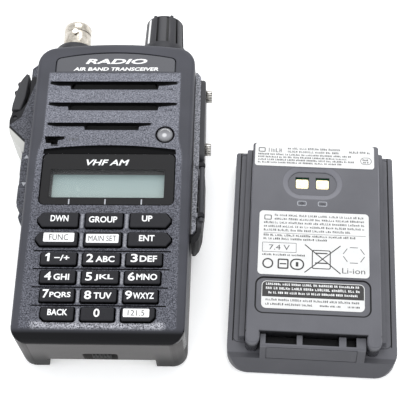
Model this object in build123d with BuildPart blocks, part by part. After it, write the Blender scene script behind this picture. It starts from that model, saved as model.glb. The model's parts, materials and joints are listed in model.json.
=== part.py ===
from build123d import *
import os
from math import cos, radians, sin

# Handheld airband radio lying on its back, with its battery pack beside it.
# Millimetres. X is right, Y runs toward the antenna end, Z rises out of the front face.
# The origin is the centre of the radio's back rim, the plane the radio rests on.

# ---- driving dimensions ----
CASE_L = 105.0  # case length without connector and knob
CASE_W_TOP = 52.6  # width at the antenna end
CASE_W_END = 51.2  # width at the bottom end
FACE_Z = 24.0  # front face above the back rim
WALL = 2.0  # front cover wall
SEAM_Z = 10.0  # where the front cover meets the rear chassis
SEAL_T = 0.3  # seal between them
END_WALL_Z = 20.3  # top of the chassis end walls
INNER_Z = FACE_Z - WALL  # underside of the front wall

PACK_L = 74.0  # battery pack length
PACK_W = 51.6  # battery pack flange width
FLANGE_T = 6.5  # battery pack flange, behind the rim once fitted
STEP_W = 44.4  # step between flange and raised block
STEP_Z = 9.0  # top of that step
BLOCK_W = 40.6  # raised block that fills the bay
BLOCK_Z = 14.8  # top of the raised block
SHELF_W = 31.5  # latch shelf at the pack's bottom end
SHELF_Z = 13.0  # top of the latch shelf
SHELF_FRONT = -32.4  # front edge of the shelf's top
END_LEAN_Y = -34.2  # the leaning end wall at the flange's top
COVER_TOP = 36.05  # the upper half's plate runs from here
COVER_END = -29.3  # to here
PACK_X = 64.7  # centre of the pack lying beside the radio
PACK_Y = -17.7
PACK_TURN = -2.2  # degrees about Z
CONTACT_X = -0.9  # middle of the two pack contacts, across the pack
CONTACT_Y = 22.3  # along the pack
CONTACT_PITCH = 6.5

BAY_W = 41.2  # battery bay, block width plus clearance
BAY_Z = 8.5  # bay ceiling
BAY_TOP = 21.6  # upper end of the bay
BAY_END = -48.9  # inner side of the two corner legs
NOTCH_W = 33.4  # opening between the legs
NOTCH_X = -0.5  # its middle
NOTCH_Z = 7.0  # ceiling of that opening
LATCH_HOOK_Y = -45.7  # latch hooks, over the windows of the fitted pack

CONNECTOR_X = -15.9  # antenna connector axis
KNOB_X = 14.7  # volume knob axis
AXIS_Z = 12.0  # both stand this high above the back

KEY_TOP = 25.0
KEY_GAP = 0.4  # clearance in the key openings
PCB_Z = 11.0  # underside of the main board
PCB_T = 1.2
KEY_BOARD_Z = 17.2  # underside of the key board
SPEAKER_Y = 28.0
SPEAKER_R = 16.0
LENS_X = 17.4  # indicator
LENS_Y = 16.9
MIC_X = -19.0
MIC_Y = 14.9
PTT_PIVOT = (-33.4, 27.6)
DC_Y = -9.0
DC_Z = 14.3
CAP_HINGE_X = 29.3  # the inlet cap swings on this line, along Y
CAP_HINGE_Z = 17.0
CAP_LUGS_Y = (9.5, -8.6)
JACK_Y = 34.0
JACK_Z = 6.4
COVER_SCREWS_Y = (40.0, 19.2)
COVER_SCREWS_Z = 10.5

# name, centre x, centre y, width, height, outer side (-1 left, 1 right), cut of the outer corners:
# along the width, along the height, and whether the upper corner is cut too
KEYS = (
    ("key_down", -14.2, -14.0, 12.4, 4.9, -1, (1.5, 1.9, True)),
    ("key_group", 0.0, -14.0, 11.4, 4.9, 0, (0, 0, False)),
    ("key_up", 14.2, -14.0, 12.4, 4.9, 1, (1.5, 1.9, True)),
    ("key_function", -14.1, -20.4, 12.8, 4.6, -1, (1.5, 1.8, True)),
    ("key_main_set", 0.0, -20.4, 11.2, 4.6, 0, (0, 0, False)),
    ("key_enter", 14.2, -20.4, 13.0, 4.6, 1, (1.5, 1.8, True)),
    ("key_1", -12.9, -27.0, 10.8, 4.1, 0, (0, 0, False)),
    ("key_2", 0.0, -27.0, 11.2, 4.1, 0, (0, 0, False)),
    ("key_3", 12.9, -27.0, 10.8, 4.1, 0, (0, 0, False)),
    ("key_4", -12.7, -32.9, 10.6, 4.1, 0, (0, 0, False)),
    ("key_5", 0.0, -32.9, 11.0, 4.1, 0, (0, 0, False)),
    ("key_6", 12.7, -32.9, 10.6, 4.1, 0, (0, 0, False)),
    ("key_7", -12.4, -38.8, 10.2, 4.1, 0, (0, 0, False)),
    ("key_8", 0.0, -38.8, 10.6, 4.1, 0, (0, 0, False)),
    ("key_9", 12.4, -38.8, 10.2, 4.1, 0, (0, 0, False)),
    ("key_back", -11.9, -44.6, 9.8, 4.1, -1, (1.2, 1.2, False)),
    ("key_0", 0.0, -44.6, 9.8, 4.1, 0, (0, 0, False)),
    ("key_emergency", 11.9, -44.6, 9.8, 4.1, 1, (1.2, 1.2, False)),
)

# The pack's own plane, on the table beside the radio.
PACK = Plane(
    origin=(PACK_X, PACK_Y, 0),
    x_dir=(cos(radians(PACK_TURN)), sin(radians(PACK_TURN)), 0),
    z_dir=(0, 0, 1),
)
# Its side view, and the leaning face of its latch shelf.
PACK_SIDE = Plane(origin=PACK.origin, x_dir=PACK.y_dir, z_dir=PACK.x_dir)
SHELF_FACE = Plane(
    origin=PACK.from_local_coords((0, (END_LEAN_Y + SHELF_FRONT - 0.1) / 2, (FLANGE_T + SHELF_Z - 0.4) / 2)),
    x_dir=PACK.x_dir,
    z_dir=PACK.y_dir * -6.1 + PACK.z_dir * 1.7,
)

os.makedirs("parts", exist_ok=True)


def case_outline(inset=0.0):
    """Case seen from the front: tapered, arched at the antenna end, round corners."""
    half_top = CASE_W_TOP / 2 - inset
    half_end = CASE_W_END / 2 - inset
    y_end = -CASE_L / 2 + inset
    y_peak = CASE_L / 2 + 0.2 - inset
    y_side = y_peak - 2.3
    with BuildSketch(mode=Mode.PRIVATE) as outline:
        with BuildLine():
            Polyline((half_top, y_side), (half_end, y_end), (-half_end, y_end), (-half_top, y_side))
            ThreePointArc((-half_top, y_side), (0, y_peak), (half_top, y_side))
        make_face()
        fillet(outline.vertices().group_by(Axis.Y)[-1], 6.5 - inset)
        fillet(outline.vertices().group_by(Axis.Y)[0], 4.6 - inset)
    return outline.sketch


def key_outline(key, grow=0.0):
    """One key opening or key: (dx, dy) cut off its outer corners, the lower one only in the last row."""
    _, x, y, width, height, side, cut = key
    right = width / 2 + grow
    top = height / 2 + grow
    dx = cut[0] + 0.4 * grow
    dy = cut[1] + 0.4 * grow
    points = [(-right, -top), (right, -top), (right, top), (-right, top)]
    if side > 0:
        points[1:2] = [(right - dx, -top), (right, -top + dy)]
        if cut[2]:
            points[3:4] = [(right, top - dy), (right - dx, top)]
    if side < 0:
        points[0:1] = [(-right, -top + dy), (-right + dx, -top)]
        if cut[2]:
            points[-1:] = [(-right + dx, top), (-right, top - dy)]
    with BuildSketch(mode=Mode.PRIVATE) as outline:
        with BuildLine():
            Polyline([(x + px, y + py) for px, py in points], close=True)
        make_face()
        fillet(outline.vertices(), 0.55 + grow / 2)
    return outline.sketch


# Textured side housings outside the case walls, seen from the front.
LEFT_HOUSING = (
    (-24.6, 48.6),
    (-27.6, 48.6),
    (-29.3, 46.9),
    (-29.3, 37.0),
    (-30.4, 30.6),
    (-31.6, 28.0),
    (-33.4, 25.9),
    (-34.6, 25.0),
    (-35.0, 23.9),
    (-34.6, 21.6),
    (-32.8, 18.3),
    (-30.6, 15.9),
    (-29.6, 13.8),
    (-29.4, -5.6),
    (-24.6, -6.6),
)
PTT_EAR = (
    (-29.8, 33.6),
    (-31.6, 30.4),
    (-34.6, 28.9),
    (-35.1, 26.6),
    (-35.0, 24.4),
    (-30.0, 24.4),
)
RIGHT_HOUSING = (
    (24.6, 46.0),
    (27.0, 45.4),
    (28.2, 43.6),
    (28.2, 12.0),
    (27.7, -13.6),
    (26.8, -14.6),
    (24.6, -15.4),
)
LUG = (
    (-24.6, -7.9),
    (-28.2, -7.7),
    (-28.6, -9.4),
    (-27.8, -11.4),
    (-26.2, -12.8),
    (-24.6, -13.2),
)

# ---- rear chassis: back shell with the battery bay, end walls and side housings ----
with BuildPart() as rear_chassis:
    with BuildSketch():
        add(case_outline())
    extrude(amount=SEAM_Z)
    fillet(rear_chassis.faces().sort_by(Axis.Z)[0].edges(), 1.2)
    with BuildSketch(Plane.XY.offset(2.0)):
        for plan in (LEFT_HOUSING, RIGHT_HOUSING, LUG):
            with BuildLine():
                Polyline(plan, close=True)
            make_face()
    extrude(amount=15.0)
    # The housings stand outside the front cover, so its room is cut out of them.
    with BuildSketch(Plane.XY.offset(SEAM_Z)):
        add(case_outline(-0.12))
    extrude(amount=20.0, mode=Mode.SUBTRACT)
    # End walls carry the connectors at one end and the latch at the other.
    with BuildSketch(Plane.XY.offset(SEAM_Z)):
        add(case_outline())
        with Locations((0, 0)):
            Rectangle(80, 99.2, mode=Mode.SUBTRACT)
        with Locations((0, -50.0)):
            Rectangle(80, 0.8, mode=Mode.SUBTRACT)
    extrude(amount=END_WALL_Z - SEAM_Z)
    # Battery bay, its rim step and the opening between the two legs.
    with Locations((0, (BAY_TOP + BAY_END) / 2, BAY_Z / 2)):
        Box(BAY_W, BAY_TOP - BAY_END, BAY_Z, mode=Mode.SUBTRACT)
    with Locations((0, (BAY_TOP + BAY_END) / 2, 1.35)):
        Box(STEP_W + 0.6, BAY_TOP - BAY_END, 2.7, mode=Mode.SUBTRACT)
    with Locations((NOTCH_X, -49.0, NOTCH_Z / 2)):
        Box(NOTCH_W, 10.0, NOTCH_Z, mode=Mode.SUBTRACT)
    # Room above the bay for connector, volume control and jack.
    with Locations((0, 36.7, 6.1)):
        Box(46.8, 25.4, 8.2, mode=Mode.SUBTRACT)
    # Latch pocket behind the bottom wall, open to the notch below.
    with Locations((-1.5, LATCH_HOOK_Y - 2.05, 10.0)):
        Box(34.0, 5.3, 7.0, mode=Mode.SUBTRACT)
    # Slot for the latch tab.
    with BuildSketch(Plane.XZ.offset(50.0)):
        with Locations((-0.25, 9.7)):
            RectangleRounded(10.5, 5.0, 0.8)
    extrude(amount=4.0, mode=Mode.SUBTRACT)
    # Posts for the upper case screws and stand-offs for the main board.
    with Locations((-20.6, 27.0, 2.0), (20.6, 27.0, 2.0)):
        Cylinder(3.1, SEAM_Z - 2.0, align=(Align.CENTER, Align.CENTER, Align.MIN))
    with BuildSketch(Plane.XY.offset(SEAM_Z - 0.1)):
        with Locations((-16.4, -43), (16.4, -43), (-16.4, 20), (16.4, 20)):
            Circle(1.6)
    extrude(amount=PCB_Z - SEAM_Z + 0.1)
    # Raised collars round the antenna connector and the knob.
    with BuildSketch(Plane.XZ.offset(-51.5)):
        with Locations((CONNECTOR_X, AXIS_Z)):
            Circle(7.6)
    extrude(amount=-5.4, taper=8)
    with BuildSketch(Plane.XZ.offset(-51.5)):
        with Locations((KNOB_X, AXIS_Z)):
            Circle(8.4)
    extrude(amount=-5.0, taper=5)
    with BuildSketch(Plane.XZ.offset(-52.6)):
        with Locations((KNOB_X, AXIS_Z)):
            Circle(7.4)
    extrude(amount=-5.0, mode=Mode.SUBTRACT)
    # Bores for the connector barrel and for the volume control's bushing.
    with BuildSketch(Plane.XZ.offset(-48.0)):
        with Locations((CONNECTOR_X, AXIS_Z)):
            Circle(4.85)
        with Locations((KNOB_X, AXIS_Z)):
            Circle(3.55)
    extrude(amount=-10.0, mode=Mode.SUBTRACT)
    # Counterbored holes for the four case screws.
    with Locations((-20.6, 27.0, 0), (20.6, 27.0, 0)):
        Cylinder(2.1, 3.4, mode=Mode.SUBTRACT)
        Cylinder(1.1, 24.0, mode=Mode.SUBTRACT)
    with Locations((-22.6, -46.3, 0), (22.6, -46.3, 0)):
        Cylinder(1.6, 8.8, mode=Mode.SUBTRACT)
        Cylinder(0.95, 24.0, mode=Mode.SUBTRACT)
    # Belt clip inserts sit in blind holes in the upper back.
    with Locations((-12.5, 46.0, 0), (12.5, 46.0, 0)):
        Cylinder(2.3, 4.0, mode=Mode.SUBTRACT)
    # Battery terminal openings in the bay ceiling.
    with Locations((CONTACT_X, CONTACT_Y - 15.5, 9.3)):
        with Locations((-CONTACT_PITCH / 2, 0), (CONTACT_PITCH / 2, 0)):
            Box(3.0, 5.0, 3.0, mode=Mode.SUBTRACT)
    # Side key pockets and plunger holes, left side.
    for key_y in (9.6, -0.3):
        with Locations((-28.75, key_y, 13.5)):
            Box(2.7, 8.2, 5.6, mode=Mode.SUBTRACT)
    with BuildSketch(Plane.YZ.offset(-28.0)):
        with Locations((9.6, 13.5), (-0.3, 13.5)):
            Circle(1.15)
    extrude(amount=3.0, mode=Mode.SUBTRACT)
    with Locations((-28.2, 40.0, 13.0)):
        Box(2.4, 5.6, 4.6, mode=Mode.SUBTRACT)
    # Push-to-talk pivot ears above and below the lever.
    for ear_z in (2.0, 15.6):
        with BuildSketch(Plane.XY.offset(ear_z)):
            with BuildLine():
                Polyline(PTT_EAR, close=True)
            make_face()
        extrude(amount=1.4)
    with Locations((PTT_PIVOT[0], PTT_PIVOT[1], 9.5)):
        Cylinder(0.75, 16.0, mode=Mode.SUBTRACT)
    # Two small lugs that carry the inlet cap's pin.
    for lug_y in CAP_LUGS_Y:
        with BuildSketch(Plane.XZ.offset(-lug_y - 0.6)):
            with Locations((CAP_HINGE_X, CAP_HINGE_Z)):
                Circle(1.0)
                with Locations((-1.0, 0)):
                    Rectangle(2.0, 2.0)
        extrude(amount=1.2)
        with Locations(Location((CAP_HINGE_X, lug_y, CAP_HINGE_Z), (90, 0, 0))):
            Cylinder(0.5, 3.0, mode=Mode.SUBTRACT)
    # Accessory jack bore, cover screw holes and the DC inlet, right side.
    with BuildSketch(Plane.YZ.offset(22.0)):
        with Locations((JACK_Y, JACK_Z)):
            Circle(3.1)
        with Locations((DC_Y, DC_Z)):
            Circle(2.4)
    extrude(amount=9.0, mode=Mode.SUBTRACT)
    with BuildSketch(Plane.YZ.offset(26.2)):
        with Locations(*[(y, COVER_SCREWS_Z) for y in COVER_SCREWS_Y]):
            Circle(1.02)
    extrude(amount=4.0, mode=Mode.SUBTRACT)
rear_chassis.part.label = "rear_chassis"
export_step(rear_chassis.part, "parts/rear_chassis.step")

# ---- front cover: face with its openings, side walls and inner posts ----
with BuildPart() as front_case:
    with BuildSketch(Plane.XY.offset(SEAM_Z + SEAL_T)):
        add(case_outline())
    extrude(amount=FACE_Z - SEAM_Z - SEAL_T)
    fillet(front_case.faces().sort_by(Axis.Z)[-1].edges(), 1.6)
    # The face rolls down toward the bottom end.
    with BuildSketch(Plane.YZ):
        with BuildLine():
            TangentArc((-46.6, FACE_Z), (-52.6, 20.6), tangent=(-1, 0))
            Polyline((-52.6, 20.6), (-54, 20.6), (-54, 25), (-46.6, 25), (-46.6, FACE_Z))
        make_face()
    extrude(amount=40, both=True, mode=Mode.SUBTRACT)
    # Inside room; the end walls of the chassis come up between the ends.
    with BuildSketch(Plane.XY.offset(SEAM_Z)):
        add(case_outline(WALL))
        with Locations((0, 0.45)):
            Rectangle(80, 98.1, mode=Mode.INTERSECT)
    extrude(amount=INNER_Z - SEAM_Z, mode=Mode.SUBTRACT)
    with Locations((0, -51.7, 15.3)):
        Box(80, 2.6, 10.6, mode=Mode.SUBTRACT)
    with Locations((0, -49.5, 15.3)):
        Box(47.0, 2.4, 10.6, mode=Mode.SUBTRACT)
    with Locations((0, 51.5, 15.3)):
        Box(80, 4.0, 10.6, mode=Mode.SUBTRACT)
    # Relief in the corner for the antenna connector's nut.
    with BuildSketch(Plane.XZ.offset(-46.4)):
        with Locations((CONNECTOR_X, AXIS_Z)):
            Circle(5.6)
    extrude(amount=-3.2, mode=Mode.SUBTRACT)
    # Posts that meet the case screws, and posts that hold the key board.
    with BuildSketch(Plane.XY.offset(SEAM_Z + SEAL_T)):
        with Locations((-20.6, 27.0), (20.6, 27.0)):
            Circle(2.4)
    extrude(amount=INNER_Z - SEAM_Z - SEAL_T + 0.1)
    with BuildSketch(Plane.XY.offset(SEAM_Z + SEAL_T)):
        with Locations((-22.6, -46.3), (22.6, -46.3)):
            Circle(1.7)
    extrude(amount=6.7)
    with BuildSketch(Plane.XY.offset(KEY_BOARD_Z + 1.0)):
        with Locations((-22.3, -9.2), (22.3, -9.2), (-22.3, 8.6), (22.3, 8.6), (-22.3, -33), (22.3, -33)):
            Circle(1.2)
    extrude(amount=INNER_Z - KEY_BOARD_Z - 0.9)
    with Locations((-20.6, 27.0, 12.0), (20.6, 27.0, 12.0)):
        Cylinder(0.9, 8.0, mode=Mode.SUBTRACT)
    with Locations((-22.6, -46.3, 12.0), (22.6, -46.3, 12.0)):
        Cylinder(0.72, 8.0, mode=Mode.SUBTRACT)
    # Key openings.
    with BuildSketch(Plane.XY.offset(INNER_Z - 0.5)):
        for key in KEYS:
            add(key_outline(key, KEY_GAP))
    extrude(amount=4.0, mode=Mode.SUBTRACT)
    # Fine step lines across the lower key field.
    with BuildSketch(Plane.XY.offset(FACE_Z - 0.25)):
        for line_y, length in ((-24.1, 41.6), (-30.0, 41.2), (-35.9, 40.6), (-41.7, 40.0)):
            with Locations((0, line_y)):
                Rectangle(length, 0.45)
    extrude(amount=1.0, mode=Mode.SUBTRACT)
    # Seat of the display window, the opening below it and the sunk arch above it.
    with BuildSketch(Plane.XY.offset(22.8)):
        with Locations((0, 0.8)):
            Rectangle(42.4, 18.6)
        fillet(vertices(), 1.9)
    extrude(amount=3.0, mode=Mode.SUBTRACT)
    with BuildSketch(Plane.XY.offset(INNER_Z - 0.5)):
        with Locations((0, -0.2)):
            RectangleRounded(37.4, 11.6, 0.8)
    extrude(amount=3.0, mode=Mode.SUBTRACT)
    with BuildSketch(Plane.XY.offset(23.35)):
        with BuildLine():
            Polyline((-21.0, 11.5), (-21.2, 9.6), (21.2, 9.6), (21.0, 11.5))
            ThreePointArc((21.0, 11.5), (0, 13.0), (-21.0, 11.5))
        make_face()
    extrude(amount=2.0, mode=Mode.SUBTRACT)
    # Seat of the name plate.
    with BuildSketch(Plane.XY.offset(23.0)):
        with BuildLine():
            Polyline((-20.1, 46.4), (-20.1, 40.9), (20.1, 40.9), (20.1, 46.4))
            ThreePointArc((20.1, 46.4), (0, 48.9), (-20.1, 46.4))
        make_face()
        fillet(vertices().group_by(Axis.Y)[-1], 1.9)
    extrude(amount=2.0, mode=Mode.SUBTRACT)
    # Speaker and microphone slots: shallow ramps at the ends, open in the middle.
    for slot_y, height, x_left, x_right, open_left, open_right in (
        (35.9, 2.7, -21.6, 21.5, -14.1, 14.1),
        (27.8, 2.5, -21.4, 21.6, -14.3, 14.3),
        (20.2, 2.3, -21.2, 13.4, -8.4, 8.4),
        (14.9, 2.6, -21.2, -14.4, -20.4, -17.4),
    ):
        ramp = min(3.2, open_left - x_left)
        with BuildSketch(Plane.XZ.offset(-slot_y)):
            with BuildLine():
                Polyline(
                    (x_left, FACE_Z),
                    (x_left + ramp, FACE_Z - 1.0),
                    (max(open_right, x_right - 6.0), FACE_Z - 1.0),
                    (x_right, FACE_Z),
                    (x_right, FACE_Z + 1),
                    (x_left, FACE_Z + 1),
                    close=True,
                )
            make_face()
        extrude(amount=height / 2, both=True, mode=Mode.SUBTRACT)
        with BuildSketch(Plane.XY.offset(INNER_Z - 0.5)):
            with Locations(((open_left + open_right) / 2, slot_y)):
                RectangleRounded(open_right - open_left, height, 0.9)
        extrude(amount=3.0, mode=Mode.SUBTRACT)
        # Sloped lower lip.
        with BuildSketch(Plane.YZ.offset(x_left + 2.2)):
            with BuildLine():
                Polyline(
                    (slot_y - height / 2 + 0.01, FACE_Z + 0.1),
                    (slot_y - height / 2 + 0.01, FACE_Z - 0.8),
                    (slot_y - height / 2 - 1.1, FACE_Z + 0.1),
                    close=True,
                )
            make_face()
        extrude(amount=x_right - x_left - 4.4, mode=Mode.SUBTRACT)
    # Indicator: raised-edge recess and the lens hole.
    with BuildSketch(Plane.XY.offset(23.2)):
        with Locations((LENS_X, LENS_Y)):
            Circle(2.95)
    extrude(amount=2.0, mode=Mode.SUBTRACT)
    with BuildSketch(Plane.XY.offset(INNER_Z - 0.5)):
        with Locations((LENS_X, LENS_Y)):
            Circle(2.1)
    extrude(amount=3.0, mode=Mode.SUBTRACT)
    # Side openings: key plungers at the left, DC inlet at the right.
    with BuildSketch(Plane.YZ.offset(-27.5)):
        with Locations((9.6, 13.5), (-0.3, 13.5), (40.0, 13.0)):
            Circle(1.15)
    extrude(amount=5.0, mode=Mode.SUBTRACT)
    with BuildSketch(Plane.YZ.offset(22.0)):
        with Locations((DC_Y, DC_Z)):
            Circle(2.4)
    extrude(amount=6.0, mode=Mode.SUBTRACT)
front_case.part.label = "front_case"
export_step(front_case.part, "parts/front_case.step")

# ---- seal between the two shells: side strips and strips on the end walls ----
with BuildPart() as case_seal:
    with BuildSketch(Plane.XY.offset(SEAM_Z)):
        add(case_outline(0.8))
        add(case_outline(1.6), mode=Mode.SUBTRACT)
        Rectangle(80, 90, mode=Mode.INTERSECT)
    extrude(amount=SEAL_T)
    with BuildSketch(Plane.XY.offset(END_WALL_Z)):
        with Locations((0, 50.8), (0, -51.4)):
            Rectangle(38, 0.9)
    extrude(amount=SEAL_T)
case_seal.part.label = "case_seal"
export_step(case_seal.part, "parts/case_seal.step")

# ---- name plate, arched like the case above it ----
with BuildPart() as brand_plate:
    with BuildSketch(Plane.XY.offset(23.0)):
        with BuildLine():
            Polyline((-19.7, 46.2), (-19.7, 41.0), (19.7, 41.0), (19.7, 46.2))
            ThreePointArc((19.7, 46.2), (0, 48.45), (-19.7, 46.2))
        make_face()
        fillet(vertices().group_by(Axis.Y)[-1], 1.6)
    extrude(amount=1.0)
    fillet(brand_plate.faces().sort_by(Axis.Z)[-1].edges().sort_by(Axis.Y)[1:], 0.2)
brand_plate.part.label = "brand_plate"
export_step(brand_plate.part, "parts/brand_plate.step")

# ---- display window, panel and light guide ----
with BuildPart() as display_window:
    with BuildSketch(Plane.XY.offset(22.8)):
        with Locations((0, 0.8)):
            RectangleRounded(42.1, 18.3, 1.8)
    extrude(amount=0.9)
    fillet(display_window.faces().sort_by(Axis.Z)[-1].edges(), 0.25)
display_window.part.label = "display_window"
export_step(display_window.part, "parts/display_window.step")

with BuildPart() as lcd_panel:
    with BuildSketch(Plane.XY.offset(20.2)):
        with Locations((0, 0.2)):
            Rectangle(40.0, 14.4)
    extrude(amount=1.1)
    with BuildSketch(Plane.XY.offset(21.3)):
        with Locations((0, -0.7)):
            Rectangle(35.3, 8.4)
    extrude(amount=0.2)
lcd_panel.part.label = "lcd_panel"
export_step(lcd_panel.part, "parts/lcd_panel.step")

with BuildPart() as lcd_backlight:
    with BuildSketch(Plane.XY.offset(KEY_BOARD_Z + 1.0)):
        with Locations((0, 0.2)):
            Rectangle(41.0, 15.2)
    extrude(amount=2.0)
    with BuildSketch(Plane.XY.offset(19.8)):
        with Locations((0, 0.2)):
            Rectangle(38.0, 12.6)
    extrude(amount=1.0, mode=Mode.SUBTRACT)
lcd_backlight.part.label = "lcd_backlight"
export_step(lcd_backlight.part, "parts/lcd_backlight.step")

# ---- speaker behind the slots ----
with BuildPart() as speaker_frame:
    with BuildSketch(Plane.XZ):
        with BuildLine():
            Polyline(
                (0, 14.4),
                (7.0, 14.4),
                (7.0, 17.4),
                (SPEAKER_R - 1.4, 20.2),
                (SPEAKER_R, 20.2),
                (SPEAKER_R, 21.5),
                (SPEAKER_R - 2.0, 21.5),
                (SPEAKER_R - 2.0, 20.9),
                (6.0, 18.3),
                (0, 18.3),
                close=True,
            )
        make_face()
    revolve(axis=Axis.Z)
speaker_frame.part = speaker_frame.part.moved(Location((0, SPEAKER_Y, 0)))
speaker_frame.part.label = "speaker_frame"
export_step(speaker_frame.part, "parts/speaker_frame.step")

with BuildPart() as speaker_cone:
    with BuildSketch(Plane.XZ):
        with BuildLine():
            Polyline(
                (0, 20.6),
                (2.4, 20.3),
                (4.6, 19.3),
                (5.4, 18.9),
                (SPEAKER_R - 2.3, 21.1),
                (SPEAKER_R - 2.3, 21.4),
                (5.4, 19.3),
                (4.8, 19.7),
                (2.6, 20.7),
                (0, 21.0),
                close=True,
            )
        make_face()
    revolve(axis=Axis.Z)
speaker_cone.part = speaker_cone.part.moved(Location((0, SPEAKER_Y, 0)))
speaker_cone.part.label = "speaker_cone"
export_step(speaker_cone.part, "parts/speaker_cone.step")

with BuildPart() as speaker_mesh:
    with BuildSketch(Plane.XY.offset(21.6)):
        with Locations((0, SPEAKER_Y)):
            Circle(SPEAKER_R)
    extrude(amount=0.35)
speaker_mesh.part.label = "speaker_mesh"
export_step(speaker_mesh.part, "parts/speaker_mesh.step")

with BuildPart() as mic_element:
    with Locations((MIC_X, MIC_Y, 20.3)):
        Cylinder(2.7, 3.2)
        with Locations((0, 0, 1.4)):
            Cylinder(0.5, 1.0, mode=Mode.SUBTRACT)
mic_element.part.label = "mic_element"
export_step(mic_element.part, "parts/mic_element.step")

# ---- indicator: domed lens on a light pipe ----
with BuildPart() as indicator_lens:
    with Locations((LENS_X, LENS_Y, 20.4)):
        Cylinder(3.2, 1.5, align=(Align.CENTER, Align.CENTER, Align.MIN))
        Cylinder(2.0, 3.5, align=(Align.CENTER, Align.CENTER, Align.MIN))
    with Locations((LENS_X, LENS_Y, 23.25)):
        Cylinder(2.6, 1.45, align=(Align.CENTER, Align.CENTER, Align.MIN))
    fillet(indicator_lens.edges().sort_by(Axis.Z)[-1], 1.1)
indicator_lens.part.label = "indicator_lens"
export_step(indicator_lens.part, "parts/indicator_lens.step")

# ---- keypad: board, rubber mat and one cap for each key ----
with BuildPart() as key_board:
    with BuildSketch(Plane.XY.offset(KEY_BOARD_Z)):
        with Locations((0, -18.9)):
            RectangleRounded(46.0, 58.0, 1.5)
        with Locations((-22.6, -46.3), (22.6, -46.3)):
            Circle(2.2, mode=Mode.SUBTRACT)
    extrude(amount=1.0)
key_board.part.label = "key_board"
export_step(key_board.part, "parts/key_board.step")

with BuildPart() as keypad_mat:
    with BuildSketch(Plane.XY.offset(KEY_BOARD_Z + 1.0)):
        with Locations((0, -29.1)):
            RectangleRounded(41.6, 36.6, 1.5)
    extrude(amount=1.0)
    with BuildSketch(Plane.XY.offset(KEY_BOARD_Z + 2.0)):
        for key in KEYS:
            with Locations((key[1], key[2])):
                RectangleRounded(5.0, 2.8, 0.6)
    extrude(amount=0.8)
keypad_mat.part.label = "keypad_mat"
export_step(keypad_mat.part, "parts/keypad_mat.step")

for key in KEYS:
    with BuildPart() as keycap:
        with BuildSketch(Plane.XY.offset(20.9)):
            add(key_outline(key, 0.45))
        extrude(amount=0.8)
        with BuildSketch(Plane.XY.offset(21.7)):
            add(key_outline(key))
        extrude(amount=KEY_TOP - 21.7)
        fillet(keycap.faces().sort_by(Axis.Z)[-1].edges(), 0.4)
    keycap.part.label = key[0]
    export_step(keycap.part, "parts/" + key[0] + ".step")

# ---- main board with its shields ----
with BuildPart() as main_pcb:
    with BuildSketch(Plane.XY.offset(PCB_Z)):
        with Locations((0, -1.0)):
            RectangleRounded(35.6, 86.0, 1.0)
        with Locations((-20.6, 27.0), (20.6, 27.0)):
            Circle(3.4, mode=Mode.SUBTRACT)
    extrude(amount=PCB_T)
    # Chips and coils soldered to the board.
    with BuildSketch(Plane.XY.offset(PCB_Z + PCB_T)):
        with Locations((-10, 17.5), (9.0, 15.0)):
            Rectangle(7.0, 6.0)
        with Locations((0, 17.0), (-2.0, 12.0), (3.0, 12.0), (-14.6, 8.2), (12.6, 5.5)):
            Rectangle(2.4, 1.6)
    extrude(amount=1.1)
main_pcb.part.label = "main_pcb"
export_step(main_pcb.part, "parts/main_pcb.step")

with BuildPart() as shield_cans:
    for x, y, width, length, height in ((-3.0, -27.5, 26.0, 25.0, 3.4), (-4.5, -3.5, 22.0, 17.0, 2.6)):
        with Locations((x, y, PCB_Z + PCB_T)):
            Box(width, length, height, align=(Align.CENTER, Align.CENTER, Align.MIN))
            Box(
                width - 0.5,
                length - 0.5,
                height - 0.25,
                align=(Align.CENTER, Align.CENTER, Align.MIN),
                mode=Mode.SUBTRACT,
            )
shield_cans.part.label = "shield_cans"
export_step(shield_cans.part, "parts/shield_cans.step")

# ---- fasteners of the case ----
with BuildPart() as case_screws:
    for x, y, seat, head_r, head_t, shank_r, tip in (
        (-20.6, 27.0, 1.7, 1.9, 1.3, 0.88, 15.5),
        (20.6, 27.0, 1.7, 1.9, 1.3, 0.88, 15.5),
        (-22.6, -46.3, 4.4, 1.4, 1.2, 0.7, 15.5),
        (22.6, -46.3, 4.4, 1.4, 1.2, 0.7, 15.5),
    ):
        with Locations((x, y, seat)):
            Cylinder(head_r, head_t, align=(Align.CENTER, Align.CENTER, Align.MAX))
            Cylinder(shank_r, tip - seat, align=(Align.CENTER, Align.CENTER, Align.MIN))
        with Locations((x, y, seat - head_t)):
            Box(head_r * 1.2, 0.45, 0.9, mode=Mode.SUBTRACT)
            Box(0.45, head_r * 1.2, 0.9, mode=Mode.SUBTRACT)
case_screws.part.label = "case_screws"
export_step(case_screws.part, "parts/case_screws.step")

# ---- two threaded inserts for a belt clip ----
with BuildPart() as clip_inserts:
    with Locations((-12.5, 46.0, 0.3), (12.5, 46.0, 0.3)):
        Cylinder(2.3, 1.7, align=(Align.CENTER, Align.CENTER, Align.MIN))
        Cylinder(1.25, 1.7, align=(Align.CENTER, Align.CENTER, Align.MIN), mode=Mode.SUBTRACT)
clip_inserts.part.label = "clip_inserts"
export_step(clip_inserts.part, "parts/clip_inserts.step")

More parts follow.
